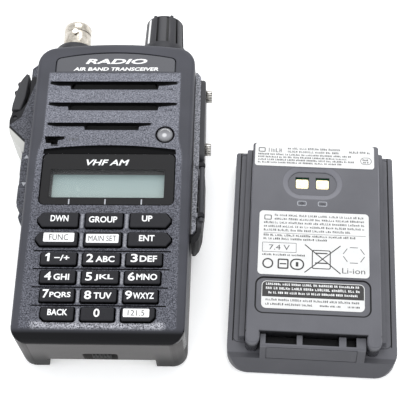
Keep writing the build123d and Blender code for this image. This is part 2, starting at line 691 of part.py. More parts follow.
# ---- antenna connector: bayonet barrel with two lugs, insulator and centre socket ----
with BuildPart() as antenna_connector:
    with BuildSketch(Plane.XY):
        with BuildLine():
            Polyline(
                (0, 46.8),
                (5.2, 46.8),
                (5.2, 49.35),
                (4.8, 49.35),
                (4.8, 56.2),
                (4.45, 56.6),
                (4.45, 57.4),
                (4.8, 57.8),
                (4.8, 63.4),
                (4.6, 63.5),
                (4.6, 63.8),
                (4.8, 63.9),
                (4.8, 66.6),
                (4.4, 67.3),
                (4.05, 67.3),
                (4.05, 58.2),
                (0, 58.2),
                close=True,
            )
        make_face()
    revolve(axis=Axis.Y)
    with Locations(Location((0, 62.4, 0))):
        Cylinder(1.0, 11.2)
    with Locations(Location((0, 63.0, 0), (90, 0, 0))):
        Cylinder(4.05, 9.6, mode=Mode.SUBTRACT)
    with Locations(Location((0, 54.0, 0), (90, 0, 0))):
        Cylinder(2.0, 20.0, mode=Mode.SUBTRACT)
antenna_connector.part = antenna_connector.part.moved(Location((CONNECTOR_X, 0, AXIS_Z)))
antenna_connector.part.label = "antenna_connector"
export_step(antenna_connector.part, "parts/antenna_connector.step")

with BuildPart() as antenna_insulator:
    with BuildSketch(Plane.XY):
        with BuildLine():
            Polyline(
                (0.75, 46.8),
                (2.0, 46.8),
                (2.0, 58.2),
                (3.2, 58.2),
                (3.2, 59.4),
                (2.3, 59.4),
                (2.3, 63.6),
                (0.75, 63.6),
                close=True,
            )
        make_face()
    revolve(axis=Axis.Y)
antenna_insulator.part = antenna_insulator.part.moved(Location((CONNECTOR_X, 0, AXIS_Z)))
antenna_insulator.part.label = "antenna_insulator"
export_step(antenna_insulator.part, "parts/antenna_insulator.step")

with BuildPart() as antenna_contact:
    with BuildSketch(Plane.XY):
        with BuildLine():
            Polyline(
                (0, 44.6), (0.75, 44.6), (0.75, 63.9), (0.45, 63.9), (0.45, 59.0), (0, 59.0), close=True
            )
        make_face()
    revolve(axis=Axis.Y)
antenna_contact.part = antenna_contact.part.moved(Location((CONNECTOR_X, 0, AXIS_Z)))
antenna_contact.part.label = "antenna_contact"
export_step(antenna_contact.part, "parts/antenna_contact.step")

# ---- volume control, its turning shaft and the ribbed knob ----
with BuildPart() as volume_control:
    with Locations((KNOB_X, 46.0, AXIS_Z)):
        Box(10.4, 4.6, 11.6)
    with BuildSketch(Plane.XZ.offset(-48.3)):
        with Locations((KNOB_X, AXIS_Z)):
            Circle(3.5)
    extrude(amount=-5.4)
    with BuildSketch(Plane.XZ.offset(-52.6)):
        with Locations((KNOB_X, AXIS_Z)):
            RegularPolygon(5.0, 6)
            Circle(3.5, mode=Mode.SUBTRACT)
    extrude(amount=-1.0)
    with BuildSketch(Plane.XZ.offset(-45.0)):
        with Locations((KNOB_X, AXIS_Z)):
            Circle(1.75)
    extrude(amount=-10.0, mode=Mode.SUBTRACT)
volume_control.part.label = "volume_control"
export_step(volume_control.part, "parts/volume_control.step")

with BuildPart() as knob_shaft:
    with BuildSketch(Plane.XZ.offset(-45.4)):
        with Locations((KNOB_X, AXIS_Z)):
            Circle(1.68)
    extrude(amount=-19.6)
    with Locations((KNOB_X, 59.6, AXIS_Z - 1.6)):
        Box(4.0, 11.4, 1.2, mode=Mode.SUBTRACT)
knob_shaft.part.label = "knob_shaft"
export_step(knob_shaft.part, "parts/knob_shaft.step")

with BuildPart() as volume_knob:
    with BuildSketch(Plane.XZ.offset(-54.2)):
        with Locations((KNOB_X, AXIS_Z)):
            Circle(7.0)
    with BuildSketch(Plane.XZ.offset(-68.7)):
        with Locations((KNOB_X, AXIS_Z)):
            Circle(6.4)
    loft()
    chamfer(volume_knob.faces().sort_by(Axis.Y)[-1].edges(), 0.5)
    # Grip grooves, and ribs standing a little past the top.
    with BuildSketch(Plane.XZ.offset(-54.0)):
        with Locations((KNOB_X, AXIS_Z)):
            with PolarLocations(6.85, 12, start_angle=107):
                Rectangle(1.3, 0.8)
    extrude(amount=-13.8, mode=Mode.SUBTRACT)
    with BuildSketch(Plane.XZ.offset(-67.9)):
        with Locations((KNOB_X, AXIS_Z)):
            with PolarLocations(5.3, 6, start_angle=62):
                Rectangle(1.5, 1.0)
    extrude(amount=-1.3)
    # Bore with a flat for the shaft, and the hollow underneath.
    with BuildSketch(Plane.XZ.offset(-54.0)):
        with Locations((KNOB_X, AXIS_Z)):
            Circle(1.7)
            with Locations((0, -1.7)):
                Rectangle(4.0, 1.36, mode=Mode.SUBTRACT)
    extrude(amount=-11.2, mode=Mode.SUBTRACT)
    with BuildSketch(Plane.XZ.offset(-54.0)):
        with Locations((KNOB_X, AXIS_Z)):
            Circle(5.4)
            Circle(2.9, mode=Mode.SUBTRACT)
    extrude(amount=-8.0, mode=Mode.SUBTRACT)
volume_knob.part.label = "volume_knob"
export_step(volume_knob.part, "parts/volume_knob.step")

# ---- push-to-talk lever with ribs, swinging on its own pin ----
with BuildPart() as ptt_lever:
    with BuildSketch(Plane.XY.offset(4.2)):
        with BuildLine():
            Polyline(
                (-30.3, 44.8),
                (-31.3, 45.3),
                (-32.9, 42.6),
                (-34.1, 38.0),
                (-34.9, 33.0),
                (-35.1, 29.4),
                (-34.3, 26.9),
                (-33.1, 26.7),
                (-31.9, 30.6),
                (-30.7, 36.0),
                (-30.3, 42.0),
                close=True,
            )
        make_face()
    extrude(amount=12.6)
    fillet(ptt_lever.faces().sort_by(Axis.Z)[-1].edges(), 0.5)
    # Two grip ribs near the top end.
    with BuildSketch(Plane.XY.offset(5.4)):
        with Locations((-33.15, 41.6), (-33.95, 38.2)):
            Circle(1.0)
    extrude(amount=10.2)
    # The lower end is thinner and lies between the ears.
    for low, high in ((2.0, 3.8), (15.2, 18.0)):
        with Locations((-33.0, 27.0, (low + high) / 2)):
            Box(8.0, 7.6, high - low, mode=Mode.SUBTRACT)
    with Locations((PTT_PIVOT[0], PTT_PIVOT[1], 9.6)):
        Cylinder(0.65, 13.8)
ptt_lever.part.label = "ptt_lever"
export_step(ptt_lever.part, "parts/ptt_lever.step")

# ---- two side keys with plungers, and the switches they work ----
for name, key_y in (("side_key_up", 9.6), ("side_key_down", -0.3)):
    with BuildPart() as side_key:
        with Locations((-29.2, key_y, 13.5)):
            Box(1.6, 7.6, 5.0)
        fillet(side_key.edges().filter_by(Axis.X), 1.4)
        chamfer(side_key.faces().sort_by(Axis.X)[0].edges(), 0.4)
        with Locations(Location((-26.4, key_y, 13.5), (0, 90, 0))):
            Cylinder(0.8, 4.2)
    side_key.part.label = name
    export_step(side_key.part, "parts/" + name + ".step")

with BuildPart() as side_switches:
    for key_y in (9.6, -0.3):
        with Locations((-22.7, key_y, 13.5)):
            Box(1.4, 4.4, 3.4)
    with Locations((-28.1, 40.0, 13.0)):
        Box(1.8, 5.0, 4.0)
        with Locations((-1.1, 0, 0)):
            Box(0.6, 1.6, 1.6)
side_switches.part.label = "side_switches"
export_step(side_switches.part, "parts/side_switches.step")

# ---- accessory jack, its screwed cover, and the DC inlet with its rubber cap ----
with BuildPart() as jack_block:
    with Locations((17.2, JACK_Y, JACK_Z)):
        Box(12.0, 7.6, 7.0)
    with Locations(Location((24.8, JACK_Y, JACK_Z), (0, 90, 0))):
        Cylinder(3.0, 3.4)
        Cylinder(1.77, 14.0, mode=Mode.SUBTRACT)
jack_block.part.label = "jack_block"
export_step(jack_block.part, "parts/jack_block.step")

with BuildPart() as jack_cover:
    with BuildSketch(Plane.YZ.offset(28.25)):
        with Locations((27.6, 10.4)):
            RectangleRounded(31.4, 13.0, 2.0)
    extrude(amount=1.5)
    chamfer(jack_cover.faces().sort_by(Axis.X)[-1].edges(), 0.5)
    with BuildSketch(Plane.YZ.offset(28.0)):
        with Locations(*[(y, COVER_SCREWS_Z) for y in COVER_SCREWS_Y]):
            Circle(1.2)
    extrude(amount=4.0, mode=Mode.SUBTRACT)
jack_cover.part.label = "jack_cover"
export_step(jack_cover.part, "parts/jack_cover.step")

with BuildPart() as jack_screws:
    for screw_y in COVER_SCREWS_Y:
        with Locations(Location((30.75, screw_y, COVER_SCREWS_Z), (0, 90, 0))):
            Cylinder(2.1, 2.0)
            with PolarLocations(2.2, 16):
                Cylinder(0.22, 2.0, mode=Mode.SUBTRACT)
            with Locations((0, 0, 1.0)):
                Box(5.0, 0.5, 0.8, mode=Mode.SUBTRACT)
        with Locations(Location((28.3, screw_y, COVER_SCREWS_Z), (0, 90, 0))):
            Cylinder(1.0, 3.0)
jack_screws.part.label = "jack_screws"
export_step(jack_screws.part, "parts/jack_screws.step")

with BuildPart() as dc_jack:
    with Locations((19.8, DC_Y, DC_Z)):
        Box(7.6, 8.0, 4.2)
    with Locations(Location((21.0, DC_Y, DC_Z), (0, 90, 0))):
        Cylinder(1.75, 5.4, mode=Mode.SUBTRACT)
    with Locations(Location((20.4, DC_Y, DC_Z), (0, 90, 0))):
        Cylinder(0.5, 5.6)
dc_jack.part.label = "dc_jack"
export_step(dc_jack.part, "parts/dc_jack.step")

with BuildPart() as dc_cap:
    with BuildSketch(Plane.XY.offset(7.6)):
        with BuildLine():
            Polyline(
                (28.5, 8.6),
                (29.4, 8.4),
                (30.2, 6.0),
                (30.2, -4.0),
                (29.5, -13.4),
                (28.6, -16.6),
                (27.4, -18.2),
                (26.4, -18.2),
                (26.4, -16.2),
                (27.2, -15.2),
                (28.1, -14.2),
                (28.5, 2.0),
                close=True,
            )
        make_face()
    extrude(amount=CAP_HINGE_Z - 7.6)
    lower_edges = dc_cap.edges().filter_by(Axis.Z).filter_by(lambda e: e.center().Y < -16)
    fillet(lower_edges.filter_by(lambda e: e.center().X > 27.0), 1.0)
    # Round bead along the top edge, a gap for the lower lug, and the pin through both lugs.
    with Locations(Location((CAP_HINGE_X, -1.0, CAP_HINGE_Z), (90, 0, 0))):
        Cylinder(0.8, 19.2)
    with Locations((CAP_HINGE_X, CAP_LUGS_Y[1], CAP_HINGE_Z)):
        Box(4.0, 1.8, 2.6, mode=Mode.SUBTRACT)
    with Locations(Location((CAP_HINGE_X, 0.1, CAP_HINGE_Z), (90, 0, 0))):
        Cylinder(0.45, 19.8)
    # Short plug that sits in the inlet.
    with Locations(Location((27.65, DC_Y, DC_Z), (0, 90, 0))):
        Cylinder(1.3, 1.9)
dc_cap.part.label = "dc_cap"
export_step(dc_cap.part, "parts/dc_cap.step")

# ---- battery terminals in the bay ceiling ----
with BuildPart() as battery_terminals:
    with Locations((CONTACT_X, CONTACT_Y - 15.5, 0)):
        with Locations((-CONTACT_PITCH / 2, 0, 0), (CONTACT_PITCH / 2, 0, 0)):
            with Locations((0, 0, 10.0)):
                Box(3.0, 5.0, 2.0)
            with Locations((0, 0, 8.2)):
                Box(1.8, 3.4, 1.6)
    with Locations((CONTACT_X, CONTACT_Y - 15.5, 10.5)):
        Box(12.0, 5.0, 1.0)
battery_terminals.part.label = "battery_terminals"
export_step(battery_terminals.part, "parts/battery_terminals.step")

# ---- battery latch: ribbed tab riding a hooked steel plate ----
with BuildPart() as latch_plate:
    with Locations((-0.5, -49.85, 10.6)):
        Box(25.0, 0.6, 5.0)
    with Locations((-0.5, (-50.15 + LATCH_HOOK_Y + 0.3) / 2, 8.4)):
        Box(25.0, 50.15 + LATCH_HOOK_Y + 0.3, 0.6)
    # Each hook hangs down and its toe points to the right, under the pack's shelf.
    for hook_x in (-7.0, 6.1):
        with Locations((hook_x, LATCH_HOOK_Y, 6.35)):
            Box(2.4, 0.6, 4.5)
        with Locations((hook_x + 1.9, LATCH_HOOK_Y, 4.55)):
            Box(1.6, 0.6, 0.9)
latch_plate.part.label = "latch_plate"
export_step(latch_plate.part, "parts/latch_plate.step")

with BuildPart() as latch_tab:
    with Locations((0.25, -51.3, 9.7)):
        Box(5.9, 2.3, 4.2)
    with Locations((0.25, -52.5, 9.7)):
        with GridLocations(1.15, 1, 5, 1):
            Box(0.5, 0.5, 3.6)
latch_tab.part.label = "latch_tab"
export_step(latch_tab.part, "parts/latch_tab.step")

# ---- battery pack: outer shell, raised upper half, cells, board, contacts, labels ----
with BuildPart(PACK) as pack_shell:
    with BuildSketch(PACK):
        Rectangle(PACK_W, PACK_L)
        fillet(vertices().group_by(Axis.Y)[0], 6.5)
        fillet(vertices().group_by(Axis.Y)[-1], 0.9)
    extrude(amount=FLANGE_T)
    fillet(pack_shell.faces().sort_by(Axis.Z)[0].edges(), 0.8)
    # Seat of the upper half, and room inside for the cells.
    with BuildSketch(PACK.offset(5.0)):
        with Locations((0, (COVER_TOP + COVER_END) / 2)):
            Rectangle(PACK_W - 3.2, COVER_TOP - COVER_END + 0.3)
        fillet(vertices().group_by(Axis.Y)[0], 2.0)
        fillet(vertices().group_by(Axis.Y)[-1], 0.9)
    extrude(amount=3.0, mode=Mode.SUBTRACT)
    with BuildSketch(PACK.offset(1.5)):
        with Locations((0, 2.65)):
            RectangleRounded(PACK_W - 6.0, PACK_L - 12.3, 2.0)
    extrude(amount=6.0, mode=Mode.SUBTRACT)
    # Latch shelf standing up from the end wall.
    with BuildSketch(PACK_SIDE.offset(-SHELF_W / 2)):
        with BuildLine():
            Polyline(
                (COVER_END - 0.15, 4.0),
                (-35.0, 4.0),
                (END_LEAN_Y, FLANGE_T),
                (SHELF_FRONT - 0.1, SHELF_Z - 0.4),
                (SHELF_FRONT + 0.3, SHELF_Z),
                (-28.6, SHELF_Z),
                (-28.6, FLANGE_T + 0.2),
                (COVER_END - 0.15, FLANGE_T + 0.2),
                close=True,
            )
        make_face()
    extrude(amount=SHELF_W)
    # The end wall leans inward toward the top.
    with BuildSketch(PACK_SIDE.offset(-PACK_W)):
        with BuildLine():
            Polyline(
                (-38.0, 0.9),
                (-37.0, 0.9),
                (END_LEAN_Y, FLANGE_T),
                (END_LEAN_Y, FLANGE_T + 0.1),
                (-38.0, FLANGE_T + 0.1),
                close=True,
            )
        make_face()
    extrude(amount=2 * PACK_W, mode=Mode.SUBTRACT)
    # Three windows in the shelf, joined by an undercut where the latch toes engage.
    with BuildSketch(PACK.offset(SHELF_Z - 2.8)):
        for window_x, window_w in ((-9.5, 9.3), (2.3, 10.9), (11.4, 3.0)):
            with Locations((window_x, -30.0)):
                Rectangle(window_w, 3.3)
        with Locations((-0.6, -30.2)):
            Rectangle(26.0, 2.3)
    extrude(amount=1.6, mode=Mode.SUBTRACT)
    with BuildSketch(PACK.offset(SHELF_Z - 1.3)):
        for window_x, window_w in ((-9.5, 9.3), (2.3, 10.9), (11.4, 3.0)):
            with Locations((window_x, -30.0)):
                Rectangle(window_w, 3.3)
    extrude(amount=3.0, mode=Mode.SUBTRACT)
    # Fine outline of a panel on the leaning face.
    with BuildSketch(SHELF_FACE.offset(-0.25)):
        with Locations((-0.3, -0.1)):
            Rectangle(27.4, 6.0)
            Rectangle(26.9, 5.5, mode=Mode.SUBTRACT)
    extrude(amount=1.0, mode=Mode.SUBTRACT)
pack_shell.part.label = "pack_shell"
export_step(pack_shell.part, "parts/pack_shell.step")

with BuildPart(PACK) as pack_block:
    with BuildSketch(PACK.offset(5.0)):
        with Locations((0, (COVER_TOP + COVER_END) / 2)):
            Rectangle(PACK_W - 3.5, COVER_TOP - COVER_END)
        fillet(vertices().group_by(Axis.Y)[0], 1.85)
        fillet(vertices().group_by(Axis.Y)[-1], 0.75)
    extrude(amount=FLANGE_T - 5.0)
    with BuildSketch(PACK.offset(FLANGE_T)):
        with Locations((0, 4.3)):
            Rectangle(STEP_W, 65.2)
        fillet(vertices().group_by(Axis.Y)[-1], 0.6)
    extrude(amount=STEP_Z - FLANGE_T)
    with BuildSketch(PACK.offset(FLANGE_T)):
        with Locations((0, 4.15)):
            Rectangle(BLOCK_W, 65.1)
        fillet(vertices().group_by(Axis.Y)[-1], 1.0)
    extrude(amount=BLOCK_Z - FLANGE_T)
    # Two corner posts with round outer faces.
    with BuildSketch(PACK.offset(FLANGE_T + 0.02)):
        with Locations((-18.15, -30.1), (18.15, -30.1)):
            Rectangle(4.3, 4.2)
        fillet(vertices().group_by(Axis.Y)[0], 1.9)
    extrude(amount=BLOCK_Z - FLANGE_T - 0.02)
    chamfer(pack_block.faces().sort_by(Axis.Z)[-1].edges(), 0.35)
    # Room inside for the cells.
    with BuildSketch(PACK.offset(4.0)):
        with Locations((0, 3.0)):
            RectangleRounded(38.0, 61.0, 1.0)
    extrude(amount=13.4 - 4.0, mode=Mode.SUBTRACT)
    # Oval contact recess: a sloping ring, a floor, and two openings over the contacts.
    with BuildSketch(PACK.offset(14.1)):
        with Locations((CONTACT_X, CONTACT_Y)):
            SlotOverall(15.5, 8.4)
    with BuildSketch(PACK.offset(BLOCK_Z + 0.02)):
        with Locations((CONTACT_X, CONTACT_Y)):
            SlotOverall(19.3, 12.2)
    loft(mode=Mode.SUBTRACT)
    with BuildSketch(PACK.offset(13.9)):
        with Locations((CONTACT_X, CONTACT_Y)):
            SlotOverall(15.5, 8.4)
    extrude(amount=2.0, mode=Mode.SUBTRACT)
    with BuildSketch(PACK.offset(13.0)):
        with Locations((CONTACT_X, CONTACT_Y + 0.35)):
            with Locations((-CONTACT_PITCH / 2, 0), (CONTACT_PITCH / 2, 0)):
                Rectangle(4.4, 4.1)
    extrude(amount=2.0, mode=Mode.SUBTRACT)
    # Polarity marks and the recess of the lower label.
    with BuildSketch(PACK.offset(BLOCK_Z - 0.25)):
        with Locations((CONTACT_X - CONTACT_PITCH / 2, 14.8)):
            Rectangle(1.4, 0.3)
            Rectangle(0.3, 1.4)
        with Locations((CONTACT_X + CONTACT_PITCH / 2, 14.8)):
            Rectangle(1.4, 0.3)
        with Locations((-0.3, -16.8)):
            RectangleRounded(34.8, 11.6, 2.4)
    extrude(amount=1.0, mode=Mode.SUBTRACT)
pack_block.part.label = "pack_block"
export_step(pack_block.part, "parts/pack_block.step")

with BuildPart(PACK) as pack_cells:
    with Locations((-9.3, 2.5, 1.7), (9.3, 2.5, 1.7)):
        Box(18.2, 58.0, 10.6, align=(Align.CENTER, Align.CENTER, Align.MIN))
    fillet(pack_cells.edges().filter_by(Axis(PACK.origin, PACK.y_dir)), 2.0)
pack_cells.part.label = "pack_cells"
export_step(pack_cells.part, "parts/pack_cells.step")

with BuildPart(PACK) as pack_pcb:
    with Locations((CONTACT_X, CONTACT_Y, 12.3)):
        Box(30.0, 15.0, 0.8, align=(Align.CENTER, Align.CENTER, Align.MIN))
pack_pcb.part.label = "pack_pcb"
export_step(pack_pcb.part, "parts/pack_pcb.step")

with BuildPart(PACK) as pack_contacts:
    with BuildSketch(PACK.offset(13.2)):
        with Locations((CONTACT_X, CONTACT_Y)):
            with Locations((-CONTACT_PITCH / 2, 0), (CONTACT_PITCH / 2, 0)):
                RectangleRounded(4.0, 3.2, 0.5)
    extrude(amount=0.5)
pack_contacts.part.label = "pack_contacts"
export_step(pack_contacts.part, "parts/pack_contacts.step")

with BuildPart(PACK) as pack_labels:
    with BuildSketch(PACK.offset(BLOCK_Z)):
        with Locations((-0.4, 32.2)):
            RectangleRounded(38.4, 8.4, 0.9)
        with Locations((-0.3, 0.8)):
            RectangleRounded(34.2, 21.8, 1.2)
    extrude(amount=0.12)
    with BuildSketch(PACK.offset(BLOCK_Z - 0.25)):
        with Locations((-0.3, -16.6)):
            RectangleRounded(31.2, 8.9, 1.5)
    extrude(amount=0.12)
pack_labels.part.label = "pack_labels"
export_step(pack_labels.part, "parts/pack_labels.step")
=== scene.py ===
import json
import math
import random

import bpy
import bmesh
from mathutils import Matrix, Vector


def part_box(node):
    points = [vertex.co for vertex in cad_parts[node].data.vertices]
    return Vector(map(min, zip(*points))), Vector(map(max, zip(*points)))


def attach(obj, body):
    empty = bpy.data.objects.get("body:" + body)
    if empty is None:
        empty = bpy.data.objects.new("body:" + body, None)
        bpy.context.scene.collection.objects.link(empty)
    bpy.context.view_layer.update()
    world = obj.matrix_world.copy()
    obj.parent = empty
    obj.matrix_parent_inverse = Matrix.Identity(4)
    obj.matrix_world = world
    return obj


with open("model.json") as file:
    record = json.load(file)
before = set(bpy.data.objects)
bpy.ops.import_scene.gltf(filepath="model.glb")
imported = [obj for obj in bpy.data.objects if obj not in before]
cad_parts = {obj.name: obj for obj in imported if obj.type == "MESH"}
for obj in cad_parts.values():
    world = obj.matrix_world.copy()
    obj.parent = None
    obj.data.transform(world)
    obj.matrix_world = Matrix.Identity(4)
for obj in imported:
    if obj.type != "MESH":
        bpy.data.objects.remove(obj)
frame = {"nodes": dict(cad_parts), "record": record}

MM = 0.001
rng = random.Random(7)
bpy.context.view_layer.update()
nodes = frame["nodes"]
scene = bpy.context.scene


# ---------------------------------------------------------------- node graphs
class Graph:
    """A material and short calls for the nodes in it."""

    def __init__(self, name):
        self.material = bpy.data.materials.new(name)
        self.material.use_nodes = True
        self.tree = self.material.node_tree
        self.tree.nodes.clear()
        self.output = self.node("ShaderNodeOutputMaterial")
        self._where = None

    def node(self, kind, **settings):
        made = self.tree.nodes.new(kind)
        for key, value in settings.items():
            setattr(made, key, value)
        return made

    def put(self, socket, value):
        if isinstance(value, bpy.types.NodeSocket):
            self.tree.links.new(value, socket)
        elif value is not None:
            socket.default_value = value

    def where(self):
        """Object coordinates: the row frame in metres, fixed to the piece."""
        if self._where is None:
            self._where = self.node("ShaderNodeTexCoord").outputs["Object"]
        return self._where

    def axes(self):
        split = self.node("ShaderNodeSeparateXYZ")
        self.put(split.inputs[0], self.where())
        return split.outputs[0], split.outputs[1], split.outputs[2]

    def math(self, operation, a, b=None, c=None):
        made = self.node("ShaderNodeMath", operation=operation)
        self.put(made.inputs[0], a)
        self.put(made.inputs[1], b)
        if c is not None:
            self.put(made.inputs[2], c)
        return made.outputs[0]

    def length(self, a, b):
        """Distance from the origin of the point (a, b)."""
        return self.math("SQRT", self.math("ADD", self.math("MULTIPLY", a, a), self.math("MULTIPLY", b, b)))

    def step(self, value, low, high, to_low=0.0, to_high=1.0):
        made = self.node("ShaderNodeMapRange", interpolation_type="SMOOTHSTEP")
        self.put(made.inputs["Value"], value)
        self.put(made.inputs["From Min"], low)
        self.put(made.inputs["From Max"], high)
        self.put(made.inputs["To Min"], to_low)
        self.put(made.inputs["To Max"], to_high)
        return made.outputs[0]

    def spread(self, value, low, high, to_low=0.0, to_high=1.0):
        made = self.node("ShaderNodeMapRange")
        self.put(made.inputs["Value"], value)
        self.put(made.inputs["From Min"], low)
        self.put(made.inputs["From Max"], high)
        self.put(made.inputs["To Min"], to_low)
        self.put(made.inputs["To Max"], to_high)
        return made.outputs[0]

    def noise(self, size_mm, detail=2.0, rough=0.5, stretch=(1, 1, 1)):
        made = self.node("ShaderNodeTexNoise")
        made.inputs["Scale"].default_value = 1.0 / (size_mm * MM)
        made.inputs["Detail"].default_value = detail
        made.inputs["Roughness"].default_value = rough
        if stretch != (1, 1, 1):
            mapping = self.node("ShaderNodeMapping")
            self.put(mapping.inputs["Vector"], self.where())
            mapping.inputs["Scale"].default_value = stretch
            self.put(made.inputs["Vector"], mapping.outputs[0])
        else:
            self.put(made.inputs["Vector"], self.where())
        return made.outputs[0]

    def blend(self, share, a, b):
        made = self.node("ShaderNodeMix", data_type="RGBA")
        self.put(made.inputs[0], share)
        self.put(made.inputs[6], a if isinstance(a, bpy.types.NodeSocket) else (*a[:3], 1))
        self.put(made.inputs[7], b if isinstance(b, bpy.types.NodeSocket) else (*b[:3], 1))
        return made.outputs[2]

    def mix(self, share, a, b):
        made = self.node("ShaderNodeMix", data_type="FLOAT")
        self.put(made.inputs[0], share)
        self.put(made.inputs[2], a)
        self.put(made.inputs[3], b)
        return made.outputs[0]

    def bump(self, height, depth_mm, strength=1.0, onto=None):
        made = self.node("ShaderNodeBump")
        made.inputs["Distance"].default_value = depth_mm * MM
        self.put(made.inputs["Strength"], strength)
        self.put(made.inputs["Height"], height)
        if onto is not None:
            self.put(made.inputs["Normal"], onto)
        return made.outputs[0]

    def surface(self, color, roughness, normal=None, metallic=0.0, **fixed):
        shader = self.node("ShaderNodeBsdfPrincipled")
        linked = isinstance(color, bpy.types.NodeSocket)
        self.put(shader.inputs["Base Color"], color if linked else (*color[:3], 1))
        self.put(shader.inputs["Roughness"], roughness)
        shader.inputs["Metallic"].default_value = metallic
        if normal is not None:
            self.put(shader.inputs["Normal"], normal)
        for key, value in fixed.items():
            shader.inputs[key.replace("_", " ")].default_value = value
        self.put(self.output.inputs["Surface"], shader.outputs[0])
        return shader


def moulded(name, dark, light, roughness, grain_mm, depth_mm, **fixed):
    """Moulded plastic or rubber: fine grain in height and colour, over a slow mottle in colour and roughness.
    """
    g = Graph(name)
    grain = g.noise(grain_mm, 3.0, 0.6)
    mottle = g.noise(9.0, 2.0, 0.5)
    share = g.math("ADD", g.spread(grain, 0.32, 0.68, 0.0, 0.5), g.spread(mottle, 0.3, 0.7, 0.0, 0.5))
    color = g.blend(share, dark, light)
    rough = g.spread(mottle, 0.3, 0.7, roughness[0], roughness[1])
    g.surface(color, rough, g.bump(grain, depth_mm), **fixed)
    return g.material


# ---------------------------------------------------------------- materials
PACK_SPOT = next(m["pos_m"] for m in frame["record"]["mounts"] if m["name"] == "pack_back")
PACK_LEAN = math.radians(2.2)  # the loose pack lies turned by this much
LENS_SPOT = (0.0174, 0.0169)
# Openings of the front cover, in mm: centre y, half height, centre x, half width left open.
OPENINGS = (
    (35.9, 1.42, 0.0, 14.3),
    (27.8, 1.32, 0.0, 14.5),
    (20.2, 1.22, 0.0, 8.6),
    (14.9, 1.38, -18.9, 1.7),
    (11.1, 2.2, 0.0, 30.0),
    (0.8, 9.4, 0.0, 30.0),
)
KEY_ROWS = (
    ("key_down", "key_group", "key_up"),
    ("key_function", "key_main_set", "key_enter"),
    ("key_1", "key_2", "key_3"),
    ("key_4", "key_5", "key_6"),
    ("key_7", "key_8", "key_9"),
    ("key_back", "key_0", "key_emergency"),
)


